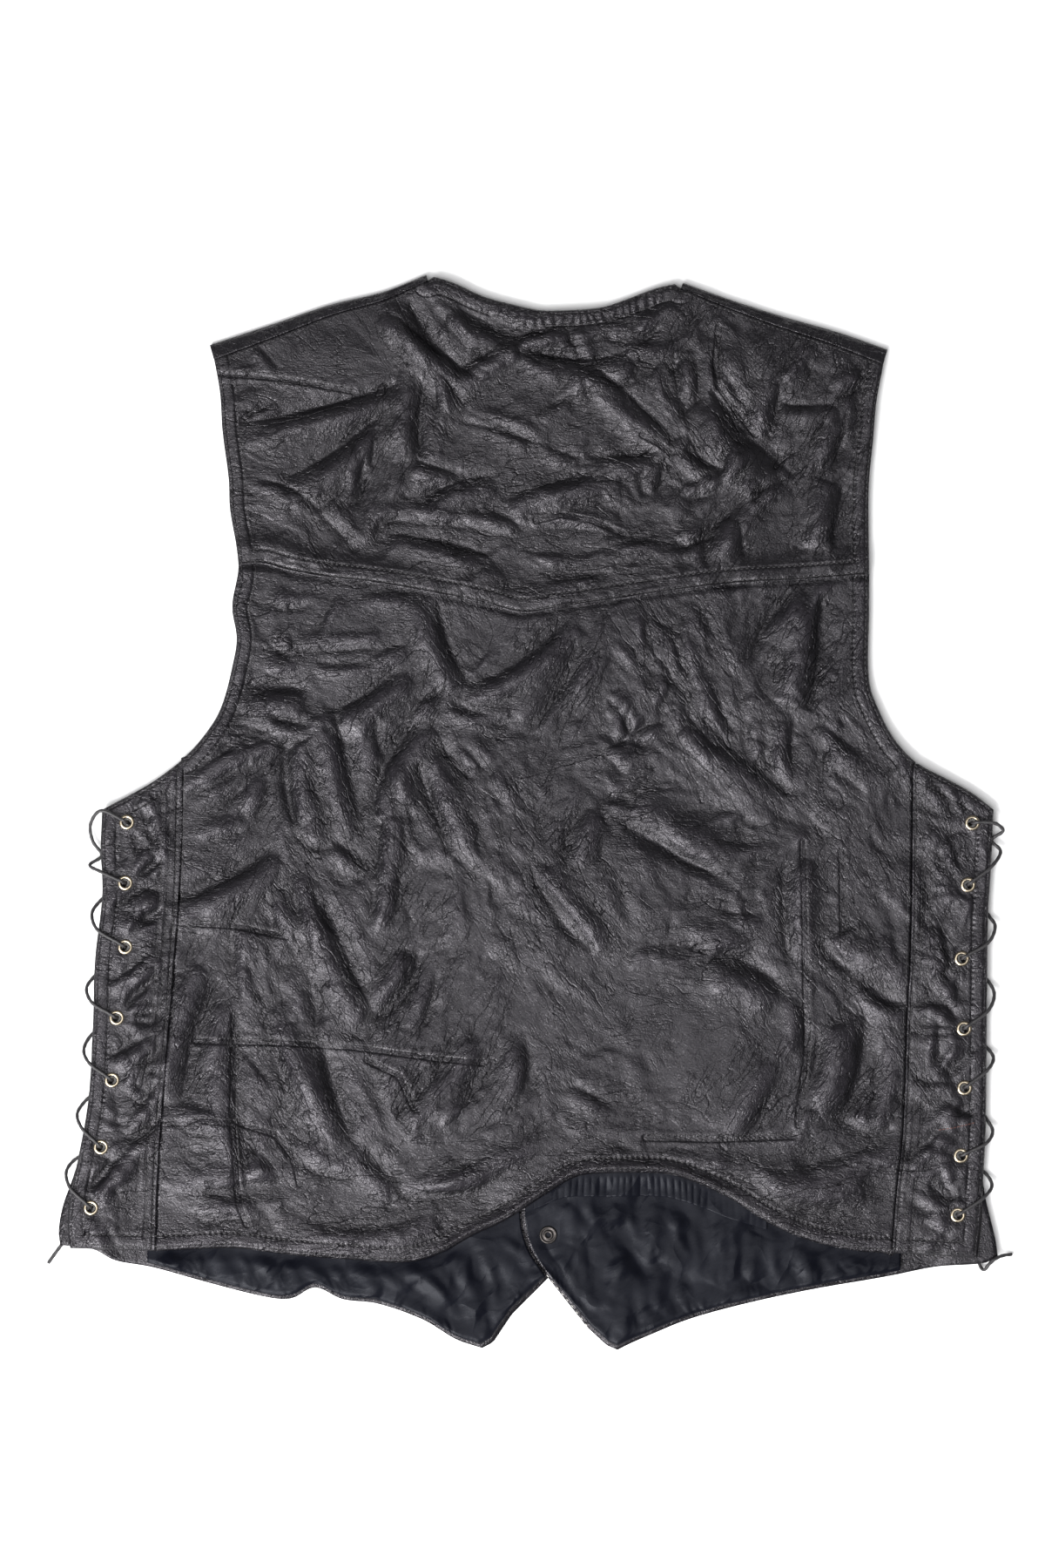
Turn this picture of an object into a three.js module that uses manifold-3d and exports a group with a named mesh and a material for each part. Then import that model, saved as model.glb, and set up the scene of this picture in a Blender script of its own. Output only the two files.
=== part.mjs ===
// A laced leather vest laid flat with its back up: +X right, +Y to the neck, +Z up, millimetres.
// The two front panels rest on the surface, the back lies on them, and a lace joins each side.
import * as THREE from 'three';
import Module from 'manifold-3d';

const wasm = await Module();
wasm.setup();

// ---- cloth walls and clearances
const LEATHER = 1.5;
const FRONT_LEATHER = 1.6;
const LINING = 1.1;
const SEAM_GAP = 0.3;
const SOFT_GAP = 0.45;

// ---- levels of the laid layers
const BACK_LEVEL = 6.2;
const SIDE_LEVEL = 7.3;
const FRONT_SIDE_LIFT = 3.2;
const OVERLAP_LIFT = 1.95;
const YOKE_LIFT = 1.8;

// ---- widths
const STRIP_FLAT = 26;
const STRIP_RAMP = 46;
const SHOULDER_TURN = 10;
const SHOULDER_TURN_AT_NECK = 4;
const YOKE_LAP = 9;
const FRONT_INSET = 4;
const LINING_INSET = 2.5;
const HIDDEN_LINING = 16;

// ---- eyelets, snap and laces
const EYELET_OUTER = 10;
const EYELET_HOLE = 5;
const EYELET_BARREL = 0.45;
const HOLE_IN_LEATHER = 6.6;
const SNAP_OUTER = 11.4;
const SNAP_HOLE = 3.2;
const LACE = 2.4;
const LACE_SIDES = 8;

// ---- outline of the back, read from one side to the other or from the top down
const NECK = [
  { x: -67, y: 346 }, { x: -50, y: 341 }, { x: -30, y: 332 }, { x: -10, y: 326.5 },
  { x: 6, y: 323.2 }, { x: 20, y: 323 }, { x: 45, y: 324.8 }, { x: 60, y: 329.5 },
  { x: 80, y: 337 }, { x: 98, y: 341 },
];
const SHOULDER_LEFT = [
  { x: -206, y: 301 }, { x: -165, y: 314.5 }, { x: -128, y: 327 }, { x: -95, y: 335 }, { x: -67, y: 346 },
];
const SHOULDER_RIGHT = [
  { x: 98, y: 341 }, { x: 130, y: 329.5 }, { x: 163, y: 319 }, { x: 198, y: 309 }, { x: 229.5, y: 298 },
];
const ARMHOLE_LEFT = [
  { y: 301, x: -206 }, { y: 286, x: -202.5 }, { y: 268, x: -199.5 }, { y: 245, x: -198 },
  { y: 215, x: -194 }, { y: 195, x: -193 }, { y: 168, x: -188.3 }, { y: 150, x: -187.5 },
  { y: 133, x: -191.5 }, { y: 112, x: -188.6 }, { y: 92, x: -192 }, { y: 76, x: -196 },
  { y: 63, x: -201 }, { y: 50, x: -209.5 }, { y: 37, x: -221 }, { y: 27, x: -233 },
  { y: 17.5, x: -247 }, { y: 2.5, x: -275 },
];
const ARMHOLE_RIGHT = [
  { y: 298, x: 229.5 }, { y: 285, x: 227.5 }, { y: 265, x: 223.5 }, { y: 240, x: 221 },
  { y: 210, x: 218 }, { y: 165, x: 217.6 }, { y: 130, x: 217.6 }, { y: 98, x: 217 },
  { y: 80, x: 218.6 }, { y: 66, x: 224 }, { y: 52, x: 231 }, { y: 40, x: 240 },
  { y: 31, x: 250.5 }, { y: 22, x: 268 }, { y: 13, x: 284 }, { y: 2.5, x: 297.4 },
];
const SIDE_LEFT = [
  { y: 2.5, x: -275 }, { y: -20, x: -275.8 }, { y: -54, x: -275 }, { y: -93, x: -279.5 },
  { y: -138, x: -281 }, { y: -185, x: -284 }, { y: -222, x: -290.5 }, { y: -245, x: -295.3 },
  { y: -262, x: -297 }, { y: -279, x: -295.5 },
];
const SIDE_RIGHT = [
  { y: 2.5, x: 297.4 }, { y: -31, x: 296 }, { y: -65, x: 294 }, { y: -104, x: 293.4 },
  { y: -143, x: 293 }, { y: -205, x: 292.3 }, { y: -233, x: 290.8 }, { y: -262, x: 289.4 },
  { y: -285, x: 287 },
];
const SEAM_LEFT = [
  { y: 36, x: -224 }, { y: -40, x: -225.5 }, { y: -105, x: -229.5 }, { y: -150, x: -233 },
  { y: -190, x: -236.5 }, { y: -230, x: -239 }, { y: -281, x: -240.5 },
];
const SEAM_RIGHT = [
  { y: 32, x: 245.5 }, { y: -40, x: 245 }, { y: -90, x: 244 }, { y: -130, x: 242 },
  { y: -180, x: 240.5 }, { y: -215, x: 238.5 }, { y: -240, x: 235.5 }, { y: -284, x: 232 },
];
const HEM = [
  { x: -295.5, y: -279 }, { x: -240, y: -280.5 }, { x: -190, y: -279 }, { x: -156, y: -283 },
  { x: -120, y: -286 }, { x: -79, y: -288 }, { x: -58, y: -282.5 }, { x: -37, y: -271 },
  { x: -16, y: -261 }, { x: 8, y: -245.5 }, { x: 28, y: -233.5 }, { x: 42, y: -231 },
  { x: 85, y: -231 }, { x: 104, y: -236 }, { x: 128, y: -247 }, { x: 150, y: -261 },
  { x: 176, y: -273 }, { x: 208, y: -280.5 }, { x: 250, y: -283 }, { x: 287, y: -285 },
];
const YOKE_EDGE = [
  { x: -189, y: 159 }, { x: -172, y: 160 }, { x: -155, y: 155.5 }, { x: -130, y: 151 },
  { x: -100, y: 147.5 }, { x: -65, y: 141.5 }, { x: -30, y: 134.5 }, { x: -5, y: 128.5 },
  { x: 22, y: 132 }, { x: 55, y: 137 }, { x: 93, y: 142.5 }, { x: 130, y: 147 },
  { x: 175, y: 149.5 }, { x: 219, y: 153 },
];

// ---- outline of the two front panels below the back
const FRONT_SIDE_LEFT = [
  { y: 2.5, x: -271.5 }, { y: -54, x: -273 }, { y: -138, x: -279.2 }, { y: -205, x: -285.6 },
  { y: -232, x: -293.2 }, { y: -252, x: -300.3 }, { y: -268, x: -303 }, { y: -277, x: -302 },
];
const FRONT_SIDE_RIGHT = [
  { y: 2.5, x: 293.6 }, { y: -65, x: 291.8 }, { y: -143, x: 291 }, { y: -225, x: 289.8 },
  { y: -246, x: 292.2 }, { y: -262, x: 296 }, { y: -275, x: 299 }, { y: -284, x: 300.2 },
];
const FRONT_HEM_LEFT = [
  { x: -302, y: -277 }, { x: -280, y: -280 }, { x: -267, y: -287 }, { x: -243, y: -291.5 },
  { x: -205, y: -302 }, { x: -168, y: -311 }, { x: -153, y: -311.5 }, { x: -138.5, y: -304.5 },
  { x: -121, y: -312 }, { x: -98, y: -315 }, { x: -68.5, y: -325.5 }, { x: -47.5, y: -338 },
  { x: -31, y: -343.5 },
];
const FRONT_HEM_RIGHT = [
  { x: 56, y: -344.5 }, { x: 64, y: -340.5 }, { x: 79, y: -334 }, { x: 100, y: -325.5 },
  { x: 138, y: -315 }, { x: 180, y: -306 }, { x: 229, y: -297.5 }, { x: 262, y: -291 },
  { x: 292, y: -288.5 }, { x: 300.2, y: -284 },
];
const FRONT_EDGE_LEFT = [
  { x: -71, y: 334 }, { x: 26, y: 168 }, { x: 32, y: 120 }, { x: 32, y: -272 },
  { x: 11, y: -299 }, { x: -12, y: -322 }, { x: -24, y: -340 }, { x: -31, y: -343.5 },
];
const FRONT_EDGE_RIGHT = [
  { x: 101, y: 330 }, { x: 1, y: 168 }, { x: -5, y: 120 }, { x: -5.5, y: -262 },
  { x: 0, y: -281 }, { x: 12, y: -299 }, { x: 36.6, y: -330 }, { x: 49, y: -341.5 },
  { x: 56, y: -344.5 },
];
const FACING_EDGE = [
  { x: 2, y: -254 }, { x: 22, y: -246.5 }, { x: 50, y: -246 }, { x: 85, y: -246 },
  { x: 105, y: -251 }, { x: 128, y: -260 }, { x: 152, y: -267 },
];

// ---- largest folds: a trough along three points, with a bank on one side of it
const FOLDS = [
  { x1: -187, y1: 250, x2: -141, y2: 260, x3: -85, y3: 276, deep: 3.0, wide: 6, bank: 2.6, side: -1 },
  { x1: -159, y1: 215, x2: -125, y2: 234, x3: -93, y3: 262, deep: 2.4, wide: 7, bank: 2.2, side: -1 },
  { x1: -66, y1: 286, x2: -71, y2: 255, x3: -70, y3: 228, deep: 2.8, wide: 6, bank: 2.4, side: -1 },
  { x1: -78, y1: 331, x2: -62, y2: 303, x3: -32, y3: 279, deep: 3.2, wide: 7, bank: 3.0, side: -1 },
  { x1: -48, y1: 326, x2: -24, y2: 313, x3: -4, y3: 304, deep: 2.6, wide: 6, bank: 2.0, side: -1 },
  { x1: -19, y1: 203, x2: 9, y2: 215, x3: 57, y3: 222, deep: 3.4, wide: 7, bank: 3.0, side: -1 },
  { x1: -73, y1: 199, x2: -51, y2: 212, x3: -23, y3: 218, deep: 2.4, wide: 6, bank: 2.0, side: -1 },
  { x1: -92, y1: 180, x2: -48, y2: 173, x3: -8, y3: 156, deep: 2.4, wide: 6, bank: 2.2, side: -1 },
  { x1: -2, y1: 298, x2: 32, y2: 292, x3: 62, y3: 297, deep: 2.6, wide: 7, bank: 2.2, side: -1 },
  { x1: 39, y1: 289, x2: 63, y2: 269, x3: 97, y3: 237, deep: 2.2, wide: 7, bank: 2.0, side: -1 },
  { x1: 116, y1: 272, x2: 142, y2: 244, x3: 170, y3: 216, deep: 3.8, wide: 10, bank: 3.4, side: -1 },
  { x1: 160, y1: 278, x2: 157, y2: 252, x3: 150, y3: 236, deep: 2.0, wide: 6, bank: 1.8, side: -1 },
  { x1: 202, y1: 209, x2: 197, y2: 191, x3: 195, y3: 170, deep: 2.8, wide: 7, bank: 2.4, side: -1 },
  { x1: 138, y1: 206, x2: 121, y2: 187, x3: 99, y3: 170, deep: 2.2, wide: 7, bank: 2.0, side: 1 },
  { x1: 187, y1: 142, x2: 186, y2: 102, x3: 177, y3: 66, deep: 3.4, wide: 8, bank: 3.0, side: -1 },
  { x1: 168, y1: 142, x2: 150, y2: 120, x3: 144, y3: 98, deep: 2.0, wide: 7, bank: 1.8, side: 1 },
  { x1: -60, y1: 139, x2: -52, y2: 109, x3: -40, y3: 85, deep: 3.2, wide: 7, bank: 3.0, side: -1 },
  { x1: -44, y1: 82, x2: -12, y2: 96, x3: 26, y3: 126, deep: 2.2, wide: 6, bank: 3.2, side: -1 },
  { x1: -186, y1: 81, x2: -164, y2: 82, x3: -144, y3: 80, deep: 3.2, wide: 7, bank: 2.8, side: -1 },
  { x1: -133, y1: 65, x2: -109, y2: 75, x3: -85, y3: 95, deep: 2.8, wide: 7, bank: 2.6, side: -1 },
  { x1: -127, y1: 67, x2: -117, y2: 35, x3: -107, y3: -17, deep: 3.0, wide: 7, bank: 2.6, side: -1 },
  { x1: -157, y1: 46, x2: -156, y2: 14, x3: -148, y3: -18, deep: 2.6, wide: 6, bank: 2.4, side: 1 },
  { x1: -68, y1: 62, x2: -92, y2: 34, x3: -102, y3: -6, deep: 3.0, wide: 7, bank: 2.6, side: 1 },
  { x1: -72, y1: 34, x2: -62, y2: 4, x3: -50, y3: -24, deep: 2.8, wide: 6, bank: 2.4, side: 1 },
  { x1: -234, y1: -57, x2: -200, y2: -43, x3: -166, y3: -21, deep: 3.6, wide: 7, bank: 3.2, side: -1 },
  { x1: -133, y1: -56, x2: -119, y2: -88, x3: -99, y3: -132, deep: 2.8, wide: 7, bank: 2.4, side: -1 },
  { x1: -72, y1: -88, x2: -77, y2: -110, x3: -99, y3: -134, deep: 2.8, wide: 6, bank: 2.4, side: -1 },
  { x1: -134, y1: -144, x2: -124, y2: -182, x3: -112, y3: -216, deep: 3.6, wide: 8, bank: 3.0, side: -1 },
  { x1: -172, y1: -124, x2: -164, y2: -156, x3: -150, y3: -190, deep: 2.4, wide: 7, bank: 2.2, side: 1 },
  { x1: -200, y1: -106, x2: -214, y2: -138, x3: -224, y3: -188, deep: 2.8, wide: 8, bank: 2.4, side: -1 },
  { x1: -189, y1: -124, x2: -188, y2: -176, x3: -181, y3: -246, deep: 2.4, wide: 7, bank: 2.0, side: -1 },
  { x1: -160, y1: -251, x2: -110, y2: -263, x3: -66, y3: -251, deep: 3.8, wide: 8, bank: 3.4, side: -1 },
  { x1: -62, y1: -252, x2: -22, y2: -240, x3: 14, y3: -224, deep: 3.4, wide: 8, bank: 3.0, side: 1 },
  { x1: -226, y1: -246, x2: -186, y2: -242, x3: -148, y3: -239, deep: 2.2, wide: 6, bank: 2.0, side: 1 },
  { x1: 109, y1: 64, x2: 133, y2: 40, x3: 169, y3: 10, deep: 3.4, wide: 8, bank: 3.0, side: -1 },
  { x1: 40, y1: 6, x2: 26, y2: -10, x3: 22, y3: -34, deep: 1.8, wide: 7, bank: 2.4, side: 1 },
  { x1: 2, y1: -38, x2: 14, y2: -60, x3: 36, y3: -86, deep: 2.2, wide: 6, bank: 2.0, side: 1 },
  { x1: 60, y1: -8, x2: 84, y2: -20, x3: 134, y3: -48, deep: 2.6, wide: 8, bank: 2.4, side: 1 },
  { x1: 119, y1: -88, x2: 147, y2: -100, x3: 165, y3: -116, deep: 3.0, wide: 9, bank: 2.4, side: -1 },
  { x1: 164, y1: -30, x2: 163, y2: -64, x3: 166, y3: -98, deep: 2.0, wide: 7, bank: 2.2, side: 1 },
  { x1: 186, y1: -81, x2: 200, y2: -97, x3: 240, y3: -123, deep: 2.4, wide: 8, bank: 2.2, side: 1 },
  { x1: 214, y1: -134, x2: 212, y2: -166, x3: 198, y3: -198, deep: 3.0, wide: 8, bank: 2.6, side: -1 },
  { x1: 234, y1: -202, x2: 200, y2: -216, x3: 150, y3: -228, deep: 3.2, wide: 8, bank: 2.8, side: 1 },
  { x1: 136, y1: -240, x2: 166, y2: -256, x3: 216, y3: -258, deep: 3.6, wide: 8, bank: 3.0, side: 1 },
  { x1: 164, y1: -164, x2: 150, y2: -190, x3: 136, y3: -214, deep: 2.0, wide: 7, bank: 1.8, side: -1 },
];

// ---- broad swells of the leather between the folds
const SWELLS = [
  { x: -135, y: 292, across: 60, along: 26, high: 1.8 },
  { x: 20, y: 262, across: 60, along: 30, high: 2.4 },
  { x: 158, y: 286, across: 42, along: 28, high: 2.0 },
  { x: -98, y: 112, across: 42, along: 30, high: 2.6 },
  { x: 62, y: 96, across: 55, along: 42, high: 3.0 },
  { x: 210, y: 40, across: 26, along: 40, high: 1.4 },
  { x: -20, y: -40, across: 60, along: 70, high: 2.6 },
  { x: 78, y: -60, across: 60, along: 46, high: 2.6 },
  { x: 128, y: -168, across: 44, along: 48, high: 2.8 },
  { x: -76, y: -186, across: 50, along: 44, high: 2.4 },
  { x: -205, y: -206, across: 38, along: 40, high: 2.0 },
  { x: 20, y: -180, across: 60, along: 40, high: 2.2 },
  { x: 62, y: -226, across: 52, along: 22, high: 3.4 },
];

// ---- soft puckers of the lining that shows below the back hem
const PUCKERS = [
  { x1: -236, y1: -276, x2: -232, y2: -283, x3: -226, y3: -292, high: 1.4, wide: 5 },
  { x1: -206, y1: -278, x2: -199, y2: -287, x3: -196, y3: -298, high: 1.8, wide: 6 },
  { x1: -176, y1: -282, x2: -168, y2: -292, x3: -160, y3: -304, high: 2.0, wide: 6 },
  { x1: -150, y1: -284, x2: -140, y2: -292, x3: -136, y3: -300, high: 1.8, wide: 6 },
  { x1: -118, y1: -288, x2: -104, y2: -298, x3: -96, y3: -310, high: 2.0, wide: 7 },
  { x1: -86, y1: -290, x2: -66, y2: -300, x3: -52, y3: -316, high: 2.2, wide: 7 },
  { x1: -52, y1: -284, x2: -40, y2: -300, x3: -34, y3: -322, high: 2.2, wide: 7 },
  { x1: -38, y1: -276, x2: -18, y2: -288, x3: -4, y3: -302, high: 1.8, wide: 7 },
  { x1: 24, y1: -250, x2: 28, y2: -262, x3: 26, y3: -276, high: 2.0, wide: 7 },
  { x1: 58, y1: -250, x2: 56, y2: -258, x3: 48, y3: -266, high: 1.6, wide: 6 },
  { x1: 64, y1: -282, x2: 55, y2: -298, x3: 50, y3: -318, high: 2.4, wide: 6 },
  { x1: 84, y1: -252, x2: 78, y2: -274, x3: 80, y3: -288, high: 2.2, wide: 7 },
  { x1: 86, y1: -290, x2: 82, y2: -304, x3: 84, y3: -318, high: 1.8, wide: 6 },
  { x1: 118, y1: -264, x2: 122, y2: -282, x3: 116, y3: -302, high: 2.2, wide: 7 },
  { x1: 146, y1: -270, x2: 142, y2: -286, x3: 146, y3: -300, high: 2.0, wide: 6 },
  { x1: 170, y1: -278, x2: 176, y2: -288, x3: 186, y3: -298, high: 1.8, wide: 6 },
  { x1: 206, y1: -284, x2: 210, y2: -290, x3: 218, y3: -295, high: 1.2, wide: 5 },
];

// ---- eyelet centres from the top of each side down
const EYELETS_LEFT = [
  { x: -259, y: -5.5 }, { x: -260, y: -44.5 }, { x: -260, y: -85.5 }, { x: -265.5, y: -131 },
  { x: -268.5, y: -171 }, { x: -275.6, y: -214 }, { x: -282, y: -253 },
];
const EYELETS_RIGHT = [
  { x: 283.8, y: -6 }, { x: 281, y: -45.7 }, { x: 277, y: -93 }, { x: 278.4, y: -138 },
  { x: 278.8, y: -176 }, { x: 276.5, y: -219.5 }, { x: 274.5, y: -257.6 },
];

// ---- each loop of a lace outside the side edge: where it leaves, its furthest point, where it returns
const LOOPS_LEFT = [
  { outY: -27, farX: -283, farY: -33, inY: -37 },
  { outY: -56, farX: -281.5, farY: -64, inY: -74 },
  { outY: -104, farX: -285, farY: -112, inY: -121 },
  { outY: -143, farX: -286.8, farY: -152, inY: -160 },
  { outY: -185, farX: -291, farY: -193, inY: -202 },
  { outY: -223, farX: -298, farY: -230, inY: -240 },
];
const LOOPS_RIGHT = [
  { outY: -17, farX: 302, farY: -24, inY: -33 },
  { outY: -66, farX: 298.5, farY: -72, inY: -82 },
  { outY: -108, farX: 298, farY: -116, inY: -126 },
  { outY: -151, farX: 297.5, farY: -157, inY: -164 },
  { outY: -196, farX: 297, farY: -204, inY: -211 },
  { outY: -232, farX: 296.5, farY: -239, inY: -246 },
];

// ---- materials
function leather(colour, roughness) {
  return new THREE.MeshStandardMaterial({ color: colour, roughness, metalness: 0 });
}
const BLACK_LEATHER = leather(0x39363a, 0.48);
const YOKE_LEATHER = leather(0x3b383c, 0.46);
const SATIN = leather(0x26262d, 0.6);
const CORD = leather(0x37343a, 0.7);
const EYELET_METAL = new THREE.MeshStandardMaterial({ color: 0xb9ac98, roughness: 0.3, metalness: 1 });
const SNAP_METAL = new THREE.MeshStandardMaterial({ color: 0x56504e, roughness: 0.4, metalness: 1 });

// ---- curves
function smooth(a, b, v) {
  const t = Math.min(1, Math.max(0, (v - a) / (b - a)));
  return t * t * (3 - 2 * t);
}

function between(rows, key, out, at) {
  const sign = Math.sign(rows[rows.length - 1][key] - rows[0][key]);
  let i = 0;
  while (i < rows.length - 2 && sign * (at - rows[i + 1][key]) > 0) i += 1;
  const a = rows[i];
  const b = rows[i + 1];
  const before = rows[Math.max(0, i - 1)];
  const after = rows[Math.min(rows.length - 1, i + 2)];
  const span = b[key] - a[key];
  const t = Math.min(1, Math.max(0, (at - a[key]) / span));
  const slopeA = (b[out] - before[out]) / (b[key] - before[key] || 1) * span;
  const slopeB = (after[out] - a[out]) / (after[key] - a[key] || 1) * span;
  const t2 = t * t;
  const t3 = t2 * t;
  return (2 * t3 - 3 * t2 + 1) * a[out] + (t3 - 2 * t2 + t) * slopeA
    + (3 * t2 - 2 * t3) * b[out] + (t3 - t2) * slopeB;
}

function alongX(rows, x0, x1, steps) {
  const line = [];
  for (let i = 0; i <= steps; i += 1) {
    const x = x0 + (x1 - x0) * i / steps;
    line.push({ x, y: between(rows, 'x', 'y', x) });
  }
  return line;
}

function alongY(rows, y0, y1, steps) {
  const line = [];
  for (let i = 0; i <= steps; i += 1) {
    const y = y0 + (y1 - y0) * i / steps;
    line.push({ x: between(rows, 'y', 'x', y), y });
  }
  return line;
}

function shifted(line, dx, dy) {
  return line.map((p) => ({ x: p.x + dx, y: p.y + dy }));
}

// A boundary made of stretches, each ending at its own share of the whole.
function chain(...stretches) {
  const parts = [];
  let from = 0;
  for (const [line, until] of stretches) {
    const lengths = [0];
    for (let i = 1; i < line.length; i += 1) {
      const step = Math.hypot(line[i].x - line[i - 1].x, line[i].y - line[i - 1].y);
      lengths.push(lengths[i - 1] + step);
    }
    parts.push({ line, lengths, from, until });
    from = until;
  }
  return (t) => {
    let part = parts[parts.length - 1];
    for (let i = parts.length - 1; i >= 0; i -= 1) if (t <= parts[i].until) part = parts[i];
    const share = (t - part.from) / (part.until - part.from);
    const goal = Math.min(1, Math.max(0, share)) * part.lengths[part.lengths.length - 1];
    let i = 1;
    while (i < part.lengths.length - 1 && part.lengths[i] < goal) i += 1;
    const f = (goal - part.lengths[i - 1]) / (part.lengths[i] - part.lengths[i - 1] || 1);
    const a = part.line[i - 1];
    const b = part.line[i];
    return { x: a.x + (b.x - a.x) * f, y: a.y + (b.y - a.y) * f };
  };
}

// The patch between four boundaries that meet at its corners.
function patch(top, bottom, left, right) {
  const p00 = left(0);
  const p10 = right(0);
  const p01 = left(1);
  const p11 = right(1);
  return (u, v) => {
    const t = top(u);
    const b = bottom(u);
    const l = left(v);
    const r = right(v);
    const mix = (key) => (1 - v) * t[key] + v * b[key] + (1 - u) * l[key] + u * r[key]
      - (1 - u) * (1 - v) * p00[key] - u * (1 - v) * p10[key]
      - (1 - u) * v * p01[key] - u * v * p11[key];
    return { x: mix('x'), y: mix('y') };
  };
}

function even(count, from = 0, to = 1) {
  const list = [];
  for (let i = 0; i <= count; i += 1) list.push(from + (to - from) * i / count);
  return list;
}

// ---- form of the laid leather
const foldLines = [];

function foldSpine(fold) {
  const spine = [];
  for (let i = 0; i <= 10; i += 1) {
    const t = i / 10;
    const a = (1 - t) * (1 - t);
    const b = 2 * t * (1 - t);
    const c = t * t;
    const mx = 2 * fold.x2 - (fold.x1 + fold.x3) / 2;
    const my = 2 * fold.y2 - (fold.y1 + fold.y3) / 2;
    spine.push({ x: a * fold.x1 + b * mx + c * fold.x3, y: a * fold.y1 + b * my + c * fold.y3, t });
  }
  return spine;
}
for (const fold of FOLDS) foldLines.push({ fold, spine: foldSpine(fold) });
const puckerLines = PUCKERS.map((fold) => ({ fold, spine: foldSpine(fold) }));

function nearest(spine, x, y) {
  let best = { d: Infinity, s: 0, t: 0, x: 0, y: 0 };
  for (let i = 1; i < spine.length; i += 1) {
    const a = spine[i - 1];
    const b = spine[i];
    const dx = b.x - a.x;
    const dy = b.y - a.y;
    const long = dx * dx + dy * dy;
    const f = Math.min(1, Math.max(0, ((x - a.x) * dx + (y - a.y) * dy) / long));
    const px = a.x + dx * f;
    const py = a.y + dy * f;
    const d = Math.hypot(x - px, y - py);
    if (d < best.d) {
      const side = dx * (y - a.y) - dy * (x - a.x) >= 0 ? 1 : -1;
      best = { d, s: d * side, t: a.t + (b.t - a.t) * f, x: px, y: py };
    }
  }
  return best;
}

function foldHeight(x, y) {
  let z = 0;
  for (const { fold, spine } of foldLines) {
    if (Math.abs(x - fold.x2) > 90 || Math.abs(y - fold.y2) > 90) continue;
    const near = nearest(spine, x, y);
    if (near.d > 4 * fold.wide) continue;
    const fade = Math.pow(Math.sin(Math.PI * Math.min(1, Math.max(0, near.t))), 0.5);
    const past = near.t <= 0 || near.t >= 1 ? 0 : 1;
    const q = near.s / fold.wide;
    const r = (near.s * fold.side - 1.7 * fold.wide) / (1.15 * fold.wide);
    z += past * fade * (fold.bank * Math.exp(-r * r) - fold.deep * Math.exp(-q * q));
  }
  return z;
}

function puckerHeight(x, y) {
  let z = 0;
  for (const { fold, spine } of puckerLines) {
    const near = nearest(spine, x, y);
    if (near.d > 3 * fold.wide || near.t <= 0 || near.t >= 1) continue;
    z += fold.high * Math.sqrt(Math.sin(Math.PI * near.t)) * Math.exp(-((near.d / fold.wide) ** 2));
  }
  return z;
}

function leftEdge(y) {
  return y > 2.5 ? between(ARMHOLE_LEFT, 'y', 'x', y) : between(SIDE_LEFT, 'y', 'x', y);
}
function rightEdge(y) {
  return y > 2.5 ? between(ARMHOLE_RIGHT, 'y', 'x', y) : between(SIDE_RIGHT, 'y', 'x', y);
}
function topEdge(x) {
  if (x < -67) return between(SHOULDER_LEFT, 'x', 'y', x);
  return x > 98 ? between(SHOULDER_RIGHT, 'x', 'y', x) : between(NECK, 'x', 'y', x);
}

function backSurface(x, y) {
  const hemY = between(HEM, 'x', 'y', x);
  const sides = Math.min(x - leftEdge(y), rightEdge(y) - x);
  const edge = Math.max(0, Math.min(sides, topEdge(x) - y, y - hemY));
  let z = BACK_LEVEL;
  for (const s of SWELLS) {
    z += s.high * Math.exp(-(((x - s.x) / s.across) ** 2) - ((y - s.y) / s.along) ** 2);
  }
  z += foldHeight(x, y) * (0.25 + 0.75 * smooth(2, 26, edge));
  const overlap = smooth(-34, -18, x) * (1 - smooth(48, 62, x)) * (1 - smooth(246, 264, y));
  const lined = 1 - smooth(-212, -196, y);
  const arched = lined * smooth(-22, -8, x) * (1 - smooth(164, 178, x));
  const low = 3.7 + 1.6 * lined + 2.0 * overlap + 1.6 * arched;
  z = Math.max(z, low);
  const strip = (1 - smooth(STRIP_FLAT, STRIP_RAMP, sides)) * (1 - smooth(36, 66, y));
  return z + (SIDE_LEVEL - z) * strip;
}

// ---- closed walls
function closedMesh(name, upper, lower, faces, rim, material) {
  const points = [];
  for (const p of upper) points.push(p.x, p.y, p.z);
  for (const p of lower) points.push(p.x, p.y, p.z);
  const n = upper.length;
  const index = [];
  for (const [a, b, c] of faces) {
    index.push(a, b, c);
    index.push(c + n, b + n, a + n);
  }
  for (let i = 0; i < rim.length; i += 1) {
    const a = rim[i];
    const b = rim[(i + 1) % rim.length];
    index.push(a, b, a + n);
    index.push(b, b + n, a + n);
  }
  return solid(name, points, index, material);
}

function volumeOf(points, index) {
  let v = 0;
  for (let i = 0; i < index.length; i += 3) {
    const a = index[i] * 3;
    const b = index[i + 1] * 3;
    const c = index[i + 2] * 3;
    v += points[a] * (points[b + 1] * points[c + 2] - points[b + 2] * points[c + 1])
      - points[a + 1] * (points[b] * points[c + 2] - points[b + 2] * points[c])
      + points[a + 2] * (points[b] * points[c + 1] - points[b + 1] * points[c]);
  }
  return v / 6;
}

function solid(name, points, index, material) {
  if (volumeOf(points, index) < 0) {
    for (let i = 0; i < index.length; i += 3) {
      const swap = index[i];
      index[i] = index[i + 2];
      index[i + 2] = swap;
    }
  }
  const geometry = new THREE.BufferGeometry();
  geometry.setAttribute('position', new THREE.Float32BufferAttribute(points, 3));
  geometry.setIndex(index);
  geometry.computeVertexNormals();
  const mesh = new THREE.Mesh(geometry, material.clone());
  mesh.name = name;
  return mesh;
}

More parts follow.
